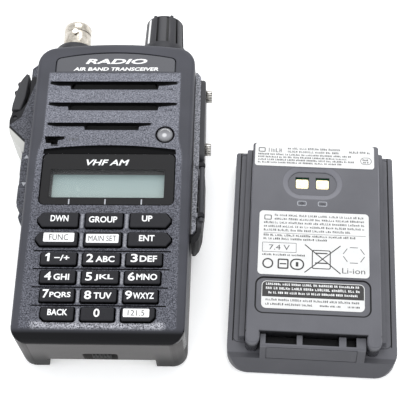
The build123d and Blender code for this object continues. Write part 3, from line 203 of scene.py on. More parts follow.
def case_material():
    """Front cover: sparkling grain in the middle field with a painted sheen towards its top, satin frame
    round it, glossy roll at the end painted near-black, painted highlights and shade.
    """
    g = Graph("case_front_plastic")
    x, y, z = g.axes()
    side = g.math("ABSOLUTE", x)
    half = g.step(y, 0.008, 0.017, 0.0232, 0.0218)
    inside = g.step(g.math("SUBTRACT", half, side), -0.0003, 0.0005)
    below_plate = g.step(y, 0.0400, 0.0410, 1.0, 0.0)
    above_end = g.step(y, -0.0494, -0.0480)
    upward = g.step(z, 0.0212, 0.0230)
    field = g.math("MULTIPLY", g.math("MULTIPLY", inside, below_plate), g.math("MULTIPLY", above_end, upward))
    coarse = g.mix(0.45, g.noise(0.46, 3.0, 0.7), g.noise(0.24, 2.0, 0.6))
    fine = g.noise(0.16, 2.0, 0.5)
    mottle = g.noise(11.0, 2.0, 0.5)
    satin = g.blend(g.spread(mottle, 0.3, 0.7), (0.046, 0.047, 0.056), (0.056, 0.057, 0.068))
    sparkle = g.spread(coarse, 0.43, 0.60)
    # Painted sheen: the grain is lighter in the upper field and darker over the keys.
    high = g.step(y, -0.012, 0.030)
    grainy_shaded_low = g.blend(sparkle, (0.020, 0.021, 0.028), (0.170, 0.174, 0.205))
    grainy_lit_high = g.blend(sparkle, (0.060, 0.062, 0.076), (0.265, 0.272, 0.315))
    grainy = g.blend(high, grainy_shaded_low, grainy_lit_high)
    # Painted highlight: bright flecks along the lip above the roll.
    lip_highlight = g.math("MULTIPLY", g.step(y, -0.0462, -0.0474), sparkle)
    lip_highlight = g.math("MULTIPLY", lip_highlight, g.step(side, 0.0205, 0.0185))
    grainy = g.blend(g.math("MULTIPLY", lip_highlight, 0.8), grainy, (0.66, 0.66, 0.71))
    color = g.blend(field, satin, grainy)
    # Painted dark reflection: the glossy roll at the end is painted near-black.
    roll_painted_dark = g.math("MULTIPLY", g.step(y, -0.0478, -0.0492), g.step(z, 0.0238, 0.0230))
    color = g.blend(roll_painted_dark, color, (0.0035, 0.0035, 0.0045))
    # Painted shade in unlit gaps: key openings, slots, the arch above the window and the seat of the window.
    low_keys = g.math("MULTIPLY", g.step(y, -0.0105, -0.0110), g.step(z, 0.02392, 0.02380))
    low_keys = g.math("MULTIPLY", low_keys, g.step(side, 0.0210, 0.0206))
    low_keys = g.math("MULTIPLY", low_keys, g.step(y, -0.0472, -0.0468))
    gaps_and_shade = g.math("MULTIPLY", low_keys, above_end)
    low_face = g.math("MULTIPLY", g.step(z, 0.02397, 0.02380), g.step(side, 0.0222, 0.0218))
    for middle, reach, centre, half_open in OPENINGS:
        # Full height in the open middle, only the upper part along the ramps at both ends.
        beside = g.math("ABSOLUTE", g.math("SUBTRACT", x, centre * MM))
        ramp = g.step(beside, half_open * MM, (half_open + 0.4) * MM, -reach * MM, 0.25 * MM)
        above = g.math("SUBTRACT", g.math("SUBTRACT", y, middle * MM), ramp)
        upper = (middle + reach) * MM
        below_upper = g.step(above, -0.08 * MM, 0.04 * MM)
        near = g.math("MULTIPLY", below_upper, g.step(y, upper + 0.1 * MM, upper))
        gaps_and_shade = g.math("MAXIMUM", gaps_and_shade, g.math("MULTIPLY", near, low_face))
    # Painted shade in a ring round the indicator lens.
    from_lens_x = g.math("SUBTRACT", x, LENS_SPOT[0])
    from_lens_y = g.math("SUBTRACT", y, LENS_SPOT[1])
    from_lens = g.length(from_lens_x, from_lens_y)
    gaps_and_shade = g.math("MAXIMUM", gaps_and_shade, g.math("MULTIPLY", g.step(from_lens, 0.00325, 0.00305), 0.92))
    color = g.blend(gaps_and_shade, color, (0.0015, 0.0015, 0.002))
    rough = g.mix(roll_painted_dark, g.mix(field, g.spread(mottle, 0.3, 0.7, 0.42, 0.50), 0.52), 0.24)
    rough = g.mix(gaps_and_shade, rough, 0.8)
    # Painted highlight on the ribs between neighbouring keys.
    rib_highlight = 0.0
    for row in KEY_ROWS:
        boxes = [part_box(key) for key in row]
        middle = (boxes[0][0].y + boxes[0][1].y) / 2
        reach = (boxes[0][1].y - boxes[0][0].y) / 2 - 0.0003
        level = g.step(g.math("ABSOLUTE", g.math("SUBTRACT", y, middle)), reach, reach - 0.0005)
        for left, right in ((0, 1), (1, 2)):
            between = (boxes[left][1].x + boxes[right][0].x) / 2
            close = g.step(g.math("ABSOLUTE", g.math("SUBTRACT", x, between)), 0.00048, 0.00028)
            rib_highlight = g.math("MAXIMUM", rib_highlight, g.math("MULTIPLY", close, level))
    rib_highlight = g.math("MULTIPLY", rib_highlight, g.mix(sparkle, 0.45, 1.0))
    color = g.blend(g.math("MULTIPLY", rib_highlight, g.step(z, 0.0239, 0.02396)), color, (0.34, 0.345, 0.375))
    first = g.bump(fine, 0.012)
    bump = g.bump(coarse, 0.13, field, first)
    g.surface(color, rough, bump, Specular_IOR_Level=0.13)
    return g.material


def chassis_material():
    """Rear chassis: grained side housings painted lit on the right and shaded on the left, smooth end walls,
    dark lever ears, a painted highlight on the slope below them, painted shade low on the legs.
    """
    g = Graph("chassis_plastic")
    x, y, z = g.axes()
    side = g.math("ABSOLUTE", x)
    housing = g.math("MULTIPLY", g.step(side, 0.0262, 0.0266), g.step(y, -0.0500, -0.0400))
    coarse = g.noise(0.45, 3.0, 0.66)
    fine = g.noise(0.18, 2.0, 0.5)
    mottle = g.noise(12.0, 2.0, 0.5)
    smooth = g.blend(g.spread(mottle, 0.3, 0.7), (0.070, 0.067, 0.067), (0.086, 0.082, 0.082))
    sparkle = g.spread(coarse, 0.40, 0.62)
    # Painted light: the right housing's grain is lit, the left housing's grain shaded.
    grainy_shaded_left = g.blend(sparkle, (0.030, 0.031, 0.038), (0.125, 0.128, 0.150))
    grainy_lit_right = g.blend(sparkle, (0.080, 0.082, 0.096), (0.380, 0.385, 0.420))
    grainy = g.blend(g.step(x, 0.0, 0.001), grainy_shaded_left, grainy_lit_right)
    color = g.blend(housing, smooth, grainy)
    # Dark zone of the lever's lower end, on the outer side of a line across the bulge.
    rise = g.math("SUBTRACT", y, 0.02765)
    lesser = g.math("MINIMUM", g.math("MULTIPLY", rise, 1.18), g.math("MULTIPLY", rise, 0.265))
    limit = g.math("SUBTRACT", lesser, 0.03125)
    ear = g.math("MULTIPLY", g.step(g.math("SUBTRACT", limit, x), -0.0001, 0.0001), g.step(y, 0.0244, 0.0250))
    ear = g.math("MULTIPLY", ear, g.step(y, 0.0440, 0.0432))
    color = g.blend(ear, color, (0.012, 0.012, 0.014))
    # Painted highlight on the slope under the bulge, with a painted shadow line along its edge.
    slope = g.math("MULTIPLY", g.step(y, 0.0250, 0.0240), g.step(y, 0.0135, 0.0150))
    slope = g.math("MULTIPLY", slope, g.step(x, -0.0290, -0.0294))
    diagonal = g.math("ADD", g.math("ADD", x, y), 0.0108)
    pale = g.math("MULTIPLY", slope, g.step(diagonal, 0.0001, -0.0003))
    line = g.math("MULTIPLY", slope, g.step(g.math("ABSOLUTE", diagonal), 0.0007, 0.0003))
    color = g.blend(pale, color, (0.46, 0.46, 0.44))
    color = g.blend(line, color, (0.008, 0.008, 0.010))
    collar = g.step(y, 0.0515, 0.0522)
    color = g.blend(collar, color, (0.030, 0.030, 0.034))
    lug = g.math("MULTIPLY", g.step(x, 0.0281, 0.0283), g.step(z, 0.0155, 0.0159))
    color = g.blend(lug, color, (0.014, 0.014, 0.016))
    # Painted shade on the legs, darker towards the floor.
    under_shade = g.math("MULTIPLY", g.step(z, 0.0150, 0.0035), g.step(side, 0.0150, 0.0175))
    under_shade = g.math("MULTIPLY", under_shade, g.step(y, -0.0400, -0.0450))
    color = g.blend(under_shade, color, (0.001, 0.001, 0.001))
    flat = g.math("MAXIMUM", g.math("SUBTRACT", 1.0, housing), g.math("MAXIMUM", ear, slope))
    rough = g.mix(flat, 0.52, g.spread(mottle, 0.3, 0.7, 0.38, 0.46))
    bump = g.bump(coarse, 0.10, g.math("SUBTRACT", 1.0, flat), g.bump(fine, 0.012))
    g.surface(color, rough, bump, Specular_IOR_Level=0.13)
    return g.material


def pack_material():
    """Battery pack: slate grey plastic, faint grain and scuffs, dark seams and painted shade at steps,
    windows, posts and the end wall.
    """
    g = Graph("pack_plastic")
    x, y, z = g.axes()
    along_lean, across_lean = math.cos(PACK_LEAN), math.sin(PACK_LEAN)
    dx = g.math("SUBTRACT", x, PACK_SPOT[0])
    dy = g.math("SUBTRACT", y, PACK_SPOT[1])
    across = g.math("SUBTRACT", g.math("MULTIPLY", dx, along_lean), g.math("MULTIPLY", dy, across_lean))
    along = g.math("ADD", g.math("MULTIPLY", dx, across_lean), g.math("MULTIPLY", dy, along_lean))
    side = g.math("ABSOLUTE", across)
    grain = g.noise(0.22, 3.0, 0.6)
    mottle = g.noise(14.0, 3.0, 0.55)
    scuff = g.noise(2.2, 4.0, 0.7, (1.0, 0.12, 1.0))
    color = g.blend(g.spread(mottle, 0.3, 0.7), (0.096, 0.096, 0.108), (0.112, 0.112, 0.125))
    color = g.blend(g.math("MULTIPLY", g.spread(scuff, 0.62, 0.75), 0.20), color, (0.18, 0.18, 0.195))

    def near(value, middle_mm, reach_mm):
        away = g.math("ABSOLUTE", g.math("SUBTRACT", value, middle_mm * MM))
        return g.step(away, reach_mm * MM, reach_mm * 0.6 * MM)

    body = g.step(along, -0.0292, -0.0288)
    seam = g.math("MULTIPLY", near(side, 24.12, 0.26), g.step(z, 0.0058, 0.0062))
    # Painted shadows along the feet of the steps.
    foot_shadow = g.math("MULTIPLY", near(side, 22.35, 0.28), g.step(z, 0.0068, 0.0066))
    step_foot_shadow = g.math("MULTIPLY", near(side, 20.42, 0.28), g.step(z, 0.0094, 0.0091))
    seam = g.math("MULTIPLY", seam, body)
    foot_shadow = g.math("MULTIPLY", foot_shadow, body)
    step_foot_shadow = g.math("MULTIPLY", step_foot_shadow, body)
    # Painted shade along the top edge of the block at its end.
    edge = g.math("MULTIPLY", near(along, -28.5, 0.35), g.step(z, 0.01478, 0.0145))
    block_side = g.math("MULTIPLY", g.step(side, 0.0204, 0.0202), g.step(z, 0.0066, 0.0070))
    edge = g.math("MULTIPLY", edge, block_side)
    # Painted shade inside the contact windows.
    window_shade = g.math("MULTIPLY", near(along, -30.0, 2.4), g.step(z, 0.01293, 0.01280))
    window_shade = g.math("MULTIPLY", window_shade, g.step(side, 0.0152, 0.0150))
    # Painted shade on the posts at the pack's end.
    post_shade = g.math("MULTIPLY", g.step(along, -0.0290, -0.0300), g.step(z, 0.0140, 0.0110))
    post_side = g.math("MULTIPLY", g.step(side, 0.0157, 0.0159), g.step(z, 0.0066, 0.0070))
    post_shade = g.math("MULTIPLY", post_shade, post_side)
    # Dark seams, with painted shadows at the feet of the steps.
    seam_and_foot_shadow = g.math("MAXIMUM", seam, g.math("MULTIPLY", foot_shadow, 0.35))
    gaps_and_shade = g.math("MAXIMUM", seam_and_foot_shadow, g.math("MAXIMUM", step_foot_shadow, window_shade))
    gaps_and_shade = g.math("MAXIMUM", gaps_and_shade, g.math("MULTIPLY", edge, 0.9))
    ring = g.math("MULTIPLY", g.step(z, 0.01405, 0.0142), g.step(z, 0.01479, 0.0147))
    ring = g.math("MULTIPLY", ring, near(along, 22.3, 9.0))
    color = g.blend(g.math("MULTIPLY", ring, 0.55), color, (0.20, 0.20, 0.225))
    # Unlit edge of the lower label's recess: distance outside a rounded rectangle.
    rx = g.math("MAXIMUM", g.math("SUBTRACT", g.math("ABSOLUTE", g.math("ADD", across, 0.0003)), 0.0150), 0.0)
    ry = g.math("MAXIMUM", g.math("SUBTRACT", g.math("ABSOLUTE", g.math("ADD", along, 0.0168)), 0.0034), 0.0)
    around = g.length(rx, ry)
    rim = g.math("MULTIPLY", near(around, 2.4, 0.30), g.step(z, 0.0140, 0.0142))
    gaps_and_shade = g.math("MAXIMUM", gaps_and_shade, rim)
    # Painted shade: the leaning end wall is darker than the faces that look up.
    wall = g.math("MULTIPLY", g.step(along, -0.0324, -0.0328), g.step(z, 0.0128, 0.0120))
    color = g.blend(g.math("MULTIPLY", wall, 0.45), color, (0.012, 0.012, 0.015))
    # Dark seams and painted shade in the gaps.
    color = g.blend(gaps_and_shade, color, (0.003, 0.003, 0.004))
    color = g.blend(g.math("MULTIPLY", post_shade, 0.85), color, (0.008, 0.008, 0.010))
    rough = g.spread(grain, 0.3, 0.7, 0.40, 0.54)
    rough = g.mix(post_shade, rough, 0.25)
    g.surface(color, rough, g.bump(grain, 0.014), Specular_IOR_Level=0.25)
    return g.material


def knob_material():
    """Knob: dark satin plastic with unlit grip grooves."""
    g = Graph("knob_plastic")
    x, y, z = g.axes()
    low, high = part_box("volume_knob")
    dx = g.math("SUBTRACT", x, (low.x + high.x) / 2)
    dz = g.math("SUBTRACT", z, (low.z + high.z) / 2)
    radius = g.length(dx, dz)
    wall = g.spread(y, 0.0542, 0.0687, 0.0070, 0.0064)
    depth = g.math("SUBTRACT", wall, radius)
    groove = g.math("MULTIPLY", g.step(depth, 0.00014, 0.00030), g.step(y, 0.0684, 0.0680))
    grain = g.noise(0.2, 3.0, 0.6)
    color = g.blend(g.spread(grain, 0.3, 0.7), (0.025, 0.025, 0.029), (0.037, 0.037, 0.042))
    color = g.blend(groove, color, (0.0015, 0.0015, 0.002))
    g.surface(color, g.spread(grain, 0.3, 0.7, 0.36, 0.48), g.bump(grain, 0.012), Specular_IOR_Level=0.25)
    return g.material


def key_material():
    """Key rubber: near-black, with unlit sides below the crown of each key."""
    g = Graph("key_rubber")
    x, y, z = g.axes()
    grain = g.noise(0.16, 3.0, 0.6)
    color = g.blend(g.spread(grain, 0.3, 0.7), (0.0120, 0.0120, 0.0145), (0.0210, 0.0210, 0.0245))
    color = g.blend(g.step(z, 0.02485, 0.02465), color, (0.0025, 0.0025, 0.0030))
    g.surface(color, g.spread(grain, 0.3, 0.7, 0.42, 0.56), g.bump(grain, 0.012), Specular_IOR_Level=0.15)
    return g.material


def screw_material():
    """Knurled screws: bright steel crowns over dark grooves."""
    g = Graph("screw_steel")
    x, y, z = g.axes()
    low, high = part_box("jack_screws")
    middle, half = (low.y + high.y) / 2, (high.y - low.y) / 2 - 0.0021
    dy = g.math("SUBTRACT", g.math("ABSOLUTE", g.math("SUBTRACT", y, middle)), half)
    dz = g.math("SUBTRACT", z, (low.z + high.z) / 2)
    radius = g.length(dy, dz)
    groove = g.step(radius, 0.00207, 0.00198)
    blotch = g.noise(0.7, 3.0, 0.6)
    color = g.blend(g.spread(blotch, 0.35, 0.65), (0.34, 0.33, 0.31), (0.62, 0.60, 0.56))
    color = g.blend(groove, color, (0.05, 0.047, 0.043))
    g.surface(color, g.spread(blotch, 0.3, 0.7, 0.20, 0.36), g.bump(blotch, 0.004), 1.0)
    return g.material


def cap_material():
    """Rubber flap of the charging inlet: grey over its middle, near-black at its lower end."""
    g = Graph("cap_rubber")
    x, y, z = g.axes()
    grain = g.noise(0.3, 3.0, 0.6)
    color = g.blend(g.spread(grain, 0.3, 0.7), (0.040, 0.040, 0.045), (0.062, 0.062, 0.068))
    color = g.blend(g.step(y, -0.0110, -0.0135), color, (0.005, 0.005, 0.006))
    g.surface(color, g.spread(grain, 0.3, 0.7, 0.46, 0.60), g.bump(grain, 0.03), Specular_IOR_Level=0.2)
    return g.material


def label_material():
    """White printed film: faint mottle and a soft gloss."""
    g = Graph("label_film")
    mottle = g.noise(3.0, 3.0, 0.6)
    color = g.blend(g.spread(mottle, 0.3, 0.7), (0.60, 0.60, 0.595), (0.65, 0.65, 0.645))
    rough = g.spread(mottle, 0.3, 0.7, 0.34, 0.46)
    g.surface(color, rough, g.bump(g.noise(0.4, 2.0), 0.002))
    return g.material


def ink_material(name, dark, light, roughness=0.45, specular=0.3):
    """Printed ink: small changes of density along the strokes."""
    g = Graph(name)
    density = g.noise(0.35, 3.0, 0.6)
    color = g.blend(g.spread(density, 0.3, 0.7), dark, light)
    rough = g.spread(density, 0.3, 0.7, roughness - 0.05, roughness + 0.08)
    g.surface(color, rough, g.bump(density, 0.002), Specular_IOR_Level=specular)
    return g.material


def lcd_material():
    """Reflective display glass: pale green-grey, greyer at its top edge, with a very faint cell grid and a
    faint painted glow.
    """
    g = Graph("lcd_glass")
    x, y, z = g.axes()
    low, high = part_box("lcd_panel")
    fade = g.spread(y, -0.0049, 0.0035)
    pale = g.blend(fade, (0.295, 0.362, 0.352), (0.225, 0.300, 0.300))
    weave = g.math("MULTIPLY", g.math("PINGPONG", x, 0.00015), 6666.0)
    pale = g.blend(g.math("MULTIPLY", weave, 0.03), pale, (0.20, 0.26, 0.25))
    raised = g.step(z, high.z - 0.00015, high.z - 0.00005)
    color = g.blend(raised, (0.098, 0.100, 0.102), pale)
    mottle = g.noise(6.0, 2.0)
    shader = g.surface(color, g.spread(mottle, 0.3, 0.7, 0.20, 0.28), g.bump(g.noise(0.5, 2.0), 0.001))
    # Faint painted glow in the display's own colour.
    g.put(shader.inputs["Emission Color"], color)
    shader.inputs["Emission Strength"].default_value = 0.08
    return g.material


def clear_material():
    """Acrylic window pane: clear with a surface reflection and faint scratches."""
    g = Graph("window_clear")
    clear = g.node("ShaderNodeBsdfTransparent")
    gloss = g.node("ShaderNodeBsdfGlossy")
    gloss.inputs["Color"].default_value = (1, 1, 1, 1)
    scratch = g.noise(1.6, 4.0, 0.7, (1.0, 0.08, 1.0))
    g.put(gloss.inputs["Roughness"], g.spread(scratch, 0.35, 0.75, 0.05, 0.12))
    edge = g.node("ShaderNodeFresnel")
    edge.inputs["IOR"].default_value = 1.14
    both = g.node("ShaderNodeMixShader")
    g.put(both.inputs[0], edge.outputs[0])
    g.put(both.inputs[1], clear.outputs[0])
    g.put(both.inputs[2], gloss.outputs[0])
    g.put(g.output.inputs["Surface"], both.outputs[0])
    return g.material


def metal_material(name, dark, light, rough_low, rough_high, blotch_mm=2.0, brushed=None, bump_mm=0.004):
    """Plated or bare metal: uneven tarnish and small scratches."""
    g = Graph(name)
    blotch = g.noise(blotch_mm, 4.0, 0.62)
    lines = g.noise(0.5, 3.0, 0.6, brushed or (1, 1, 1))
    color = g.blend(g.spread(blotch, 0.35, 0.65), dark, light)
    rough = g.spread(lines, 0.3, 0.7, rough_low, rough_high)
    g.surface(color, rough, g.bump(lines, bump_mm), 1.0)
    return g.material


def cloth_material():
    """Black acoustic gauze behind the slots."""
    g = Graph("speaker_gauze")
    x, y, z = g.axes()
    warp = g.math("MULTIPLY", g.math("PINGPONG", x, 0.00018), 5555.0)
    weft = g.math("MULTIPLY", g.math("PINGPONG", y, 0.00018), 5555.0)
    weave = g.math("MULTIPLY", warp, weft)
    color = g.blend(weave, (0.002, 0.002, 0.002), (0.010, 0.010, 0.011))
    g.surface(color, 0.9, g.bump(weave, 0.05))
    return g.material


def lens_material():
    """Smoky translucent indicator dome, with painted shade towards its base and upper side and a painted
    highlight near its crown.
    """
    g = Graph("indicator_clear")
    x, y, z = g.axes()
    low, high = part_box("indicator_lens")
    mottle = g.noise(1.2, 2.0)
    # Painted shade: darker towards the base of the dome and towards its upper side.
    depth = g.spread(z, high.z - 0.0011, high.z)
    color = g.blend(depth, (0.03, 0.03, 0.033), (0.20, 0.20, 0.215))
    height = g.step(y, high.y - 0.0042, high.y - 0.0012)
    color = g.blend(g.math("MULTIPLY", height, 0.7), color, (0.045, 0.045, 0.050))
    color = g.blend(g.math("MULTIPLY", mottle, 0.1), color, (0.30, 0.30, 0.31))
    # Painted highlight near the crown of the dome.
    crown_x = g.math("SUBTRACT", x, (low.x + high.x) / 2 - 0.0001)
    crown_y = g.math("SUBTRACT", y, (low.y + high.y) / 2 - 0.0006)
    crown_highlight = g.length(crown_x, crown_y)
    color = g.blend(g.math("MULTIPLY", g.step(crown_highlight, 0.0010, 0.0004), 0.6), color, (0.72, 0.72, 0.73))
    g.surface(color, g.spread(mottle, 0.3, 0.7, 0.06, 0.12), g.bump(mottle, 0.01), Coat_Weight=0.6)
    return g.material


def board_material():
    """Green solder mask over faint copper tracks."""
    g = Graph("board_green")
    x, y, z = g.axes()
    tracks = g.math("GREATER_THAN", g.math("PINGPONG", g.math("ADD", x, y), 0.0009), 0.0006)
    color = g.blend(g.math("MULTIPLY", tracks, 0.4), (0.006, 0.055, 0.022), (0.020, 0.110, 0.045))
    mottle = g.noise(4.0, 2.0)
    g.surface(color, g.spread(mottle, 0.3, 0.7, 0.28, 0.4), g.bump(tracks, 0.02))
    return g.material


MATERIALS = {
    "case_plastic": case_material(),
    "chassis_plastic": chassis_material(),
    "seal_rubber": moulded(
        "seal_rubber", (0.010, 0.010, 0.011), (0.018, 0.018, 0.019), (0.6, 0.75), 0.3, 0.01
    ),
    "plate_plastic": moulded(
        "plate_plastic", (0.062, 0.063, 0.072), (0.075, 0.076, 0.086), (0.38, 0.46), 0.14, 0.008,
        Specular_IOR_Level=0.25,
    ),
    "window": clear_material(),
    "lcd": lcd_material(),
    "white_plastic": moulded("light_guide", (0.62, 0.63, 0.62), (0.72, 0.73, 0.72), (0.35, 0.5), 0.5, 0.01),
    "steel": metal_material("steel", (0.42, 0.41, 0.39), (0.62, 0.60, 0.57), 0.22, 0.40, 1.5),
    "cone": moulded("cone_film", (0.010, 0.010, 0.010), (0.020, 0.020, 0.020), (0.4, 0.6), 0.6, 0.02),
    "cloth": cloth_material(),
    "lens": lens_material(),
    "board": board_material(),
    "key_rubber": key_material(),
    "gold": metal_material("gold_plate", (0.82, 0.68, 0.40), (0.92, 0.80, 0.55), 0.25, 0.42, 1.0),
    "nickel": metal_material(
        "nickel_plate", (0.33, 0.30, 0.255), (0.56, 0.52, 0.46), 0.18, 0.30, 2.0, (1, 5, 1)
    ),
    "ptfe": moulded("ptfe", (0.70, 0.69, 0.66), (0.82, 0.81, 0.78), (0.4, 0.55), 0.4, 0.01),
    "alloy": metal_material("alloy", (0.38, 0.37, 0.36), (0.55, 0.54, 0.53), 0.28, 0.45, 1.4),
    "black_plastic": moulded(
        "black_plastic", (0.020, 0.020, 0.023), (0.034, 0.034, 0.038), (0.36, 0.5), 0.2, 0.012,
        Specular_IOR_Level=0.25,
    ),
    "knob_plastic": knob_material(),
    "pack_plastic": pack_material(),
    "cell": metal_material("cell_can", (0.50, 0.50, 0.50), (0.66, 0.66, 0.65), 0.3, 0.5, 3.0),
    "label": label_material(),
}
LEVER_RUBBER = moulded(
    "lever_rubber", (0.026, 0.026, 0.029), (0.042, 0.042, 0.046), (0.46, 0.60), 0.3, 0.03,
    Specular_IOR_Level=0.25,
)
CAP_RUBBER = cap_material()
# Near-black for the microphone element: painted shade inside its slot.
MIC_SHADE_BLACK = moulded(
    "mic_shade_black", (0.004, 0.004, 0.004), (0.008, 0.008, 0.008), (0.8, 0.9), 0.3, 0.02,
    Specular_IOR_Level=0.1,
)
SCREW_STEEL = screw_material()
# The steel latch plate is drawn as bright diffuse plastic: painted light on a plate that lies in shade.
LATCH_STEEL = moulded("latch_steel", (0.70, 0.69, 0.66), (0.86, 0.85, 0.82), (0.35, 0.5), 0.4, 0.01)
LATCH_BLACK = moulded(
    "latch_black", (0.006, 0.006, 0.006), (0.012, 0.012, 0.012), (0.4, 0.55), 0.2, 0.02,
    Specular_IOR_Level=0.15,
)
INK_WHITE = ink_material("ink_white", (0.74, 0.74, 0.74), (0.86, 0.86, 0.86))
INK_PALE = ink_material("ink_pale", (0.30, 0.31, 0.34), (0.40, 0.41, 0.44))
INK_GREY = ink_material("ink_grey", (0.050, 0.050, 0.052), (0.095, 0.095, 0.098))
INK_DARK = ink_material("ink_dark", (0.026, 0.025, 0.025), (0.044, 0.043, 0.042))
INK_BLACK = ink_material("ink_black", (0.0095, 0.0093, 0.0102), (0.0120, 0.0118, 0.0128), 0.4, 0.15)


# ---------------------------------------------------------------- printed marks
def rounded_points(cx, cy, width, height, radius, steps=6):
    """Corner-rounded rectangle as points, anticlockwise."""
    points = []
    for sx, sy, start in ((1, 1, 0), (-1, 1, 90), (-1, -1, 180), (1, -1, 270)):
        ox = cx + sx * (width / 2 - radius)
        oy = cy + sy * (height / 2 - radius)
        for i in range(steps + 1):
            a = math.radians(start + 90 * i / steps)
            points.append((ox + radius * math.cos(a), oy + radius * math.sin(a)))
    return points


class Print:
    """Thin raised marks gathered into one mesh, in millimetres: bars, rings, outlines, letters."""

    def __init__(self, thickness=0.035):
        self.mesh = bmesh.new()
        self.thickness = thickness
        self.inks = []

    def ink(self, material):
        if material not in self.inks:
            self.inks.append(material)
        return self.inks.index(material)

    def shape(self, points, z, material, thickness=None):
        rise = thickness or self.thickness
        index = self.ink(material)
        low = [self.mesh.verts.new((x, y, z)) for x, y in points]
        high = [self.mesh.verts.new((x, y, z + rise)) for x, y in points]
        faces = [self.mesh.faces.new(high), self.mesh.faces.new(low[::-1])]
        count = len(points)
        for i in range(count):
            j = (i + 1) % count
            faces.append(self.mesh.faces.new((low[i], low[j], high[j], high[i])))
        for face in faces:
            face.material_index = index

    def bar(self, x0, y0, x1, y1, z, material):
        self.shape([(x0, y0), (x1, y0), (x1, y1), (x0, y1)], z, material)

    def line(self, x0, y0, x1, y1, width, z, material):
        dx, dy = x1 - x0, y1 - y0
        length = math.hypot(dx, dy)
        ox, oy = -dy / length * width / 2, dx / length * width / 2
        corners = [(x0 - ox, y0 - oy), (x1 - ox, y1 - oy), (x1 + ox, y1 + oy), (x0 + ox, y0 + oy)]
        self.shape(corners, z, material)

    def rim(self, outer, inner, z, material, thickness=None):
        rise = thickness or self.thickness
        index = self.ink(material)
        rings = []
        for points, height in ((outer, z), (outer, z + rise), (inner, z + rise), (inner, z)):
            rings.append([self.mesh.verts.new((x, y, height)) for x, y in points])
        count = len(outer)
        for k in range(4):
            a, b = rings[k], rings[(k + 1) % 4]
            for i in range(count):
                j = (i + 1) % count
                self.mesh.faces.new((a[i], a[j], b[j], b[i])).material_index = index

    def text(self, string, cx, cy, width, height, z, material, weight=0.02, shear=0.0):
        curve = bpy.data.curves.new("letters", "FONT")
        curve.body = string
        curve.offset = weight
        curve.shear = shear
        curve.resolution_u = 3
        curve.extrude = 0.5
        holder = bpy.data.objects.new("letters", curve)
        made = bpy.data.meshes.new_from_object(holder)
        xs = [v.co.x for v in made.vertices]
        ys = [v.co.y for v in made.vertices]
        scale_x = width / (max(xs) - min(xs))
        scale_y = height / (max(ys) - min(ys))
        mid_x, mid_y = (max(xs) + min(xs)) / 2, (max(ys) + min(ys)) / 2
        for v in made.vertices:
            v.co = (
                cx + (v.co.x - mid_x) * scale_x,
                cy + (v.co.y - mid_y) * scale_y,
                z + (0.5 + v.co.z) * self.thickness,
            )
        index = self.ink(material)
        before = len(self.mesh.faces)
        self.mesh.from_mesh(made)
        self.mesh.faces.ensure_lookup_table()
        for face in self.mesh.faces[before:]:
            face.material_index = index
        bpy.data.objects.remove(holder)
        bpy.data.curves.remove(curve)
        bpy.data.meshes.remove(made)

    def words(self, x0, x1, y, height, z, material, stroke=0.16):
        """A line of meaningless letter-like strokes, in words of uneven length."""
        x = x0
        while x < x1 - height:
            for _ in range(rng.randint(2, 8)):
                wide = height * rng.uniform(0.45, 0.7)
                if x + wide > x1:
                    return
                tall = height * rng.choice((1.0, 1.0, 0.78))
                self.bar(x, y, x + stroke, y + tall, z, material)
                kind = rng.randint(0, 3)
                if kind != 0:
                    level = y + (0, 0, tall - stroke, tall * 0.45)[kind]
                    self.bar(x + stroke, level, x + wide, level + stroke, z, material)
                if kind != 1:
                    self.bar(x + wide - stroke, y, x + wide, y + tall * 0.9, z, material)
                x += wide + 0.16 * height + 0.06
            x += 0.5 * height

    def finish(self, name, body, slot, matrix=None):
        bmesh.ops.recalc_face_normals(self.mesh, faces=self.mesh.faces)
        made = bpy.data.meshes.new(name)
        self.mesh.to_mesh(made)
        self.mesh.free()
        for material in self.inks:
            made.materials.append(material)
        made.transform((matrix or Matrix.Identity(4)) @ Matrix.Scale(MM, 4))
        piece = bpy.data.objects.new(name, made)
        scene.collection.objects.link(piece)
        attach(piece, body)
        return piece


# ---------------------------------------------------------------- CAD nodes
SLOT_OF = {row["node"]: row["material_slot"] for row in frame["record"]["subparts"]}
SOFT_EDGES = {
    "front_case": 0.18,
    "rear_chassis": 0.25,
    "brand_plate": 0.10,
    "pack_block": 0.22,
    "pack_shell": 0.22,
    "volume_knob": 0.16,
    "ptt_lever": 0.30,
    "dc_cap": 0.25,
    "jack_cover": 0.15,
    "jack_screws": 0.08,
    "latch_tab": 0.12,
    "latch_plate": 0.08,
    "antenna_connector": 0.12,
}


def soften(node, width_mm):
    """Rounds a CAD node's sharp edges, after joining the points that its faces share."""
    piece = nodes[node]
    weld = piece.modifiers.new("join", "WELD")
    weld.merge_threshold = 0.000002
    bevel = piece.modifiers.new("soft_edges", "BEVEL")
    bevel.width = width_mm * MM
    bevel.segments = 2
    bevel.limit_method = "ANGLE"
    bevel.angle_limit = math.radians(38)
    bevel.use_clamp_overlap = True
    bevel.harden_normals = True


OWN_LOOK = {
    "ptt_lever": LEVER_RUBBER,
    "side_key_up": LEVER_RUBBER,
    "side_key_down": LEVER_RUBBER,
    "dc_cap": CAP_RUBBER,
    "mic_element": MIC_SHADE_BLACK,
    "jack_screws": SCREW_STEEL,
    "latch_plate": LATCH_STEEL,
    "latch_tab": LATCH_BLACK,
}
for name, piece in nodes.items():
    look = MATERIALS[SLOT_OF[name]]
    look = OWN_LOOK.get(name, look)
    piece.data.materials.clear()
    piece.data.materials.append(look)
for name, width in SOFT_EDGES.items():
    soften(name, width)

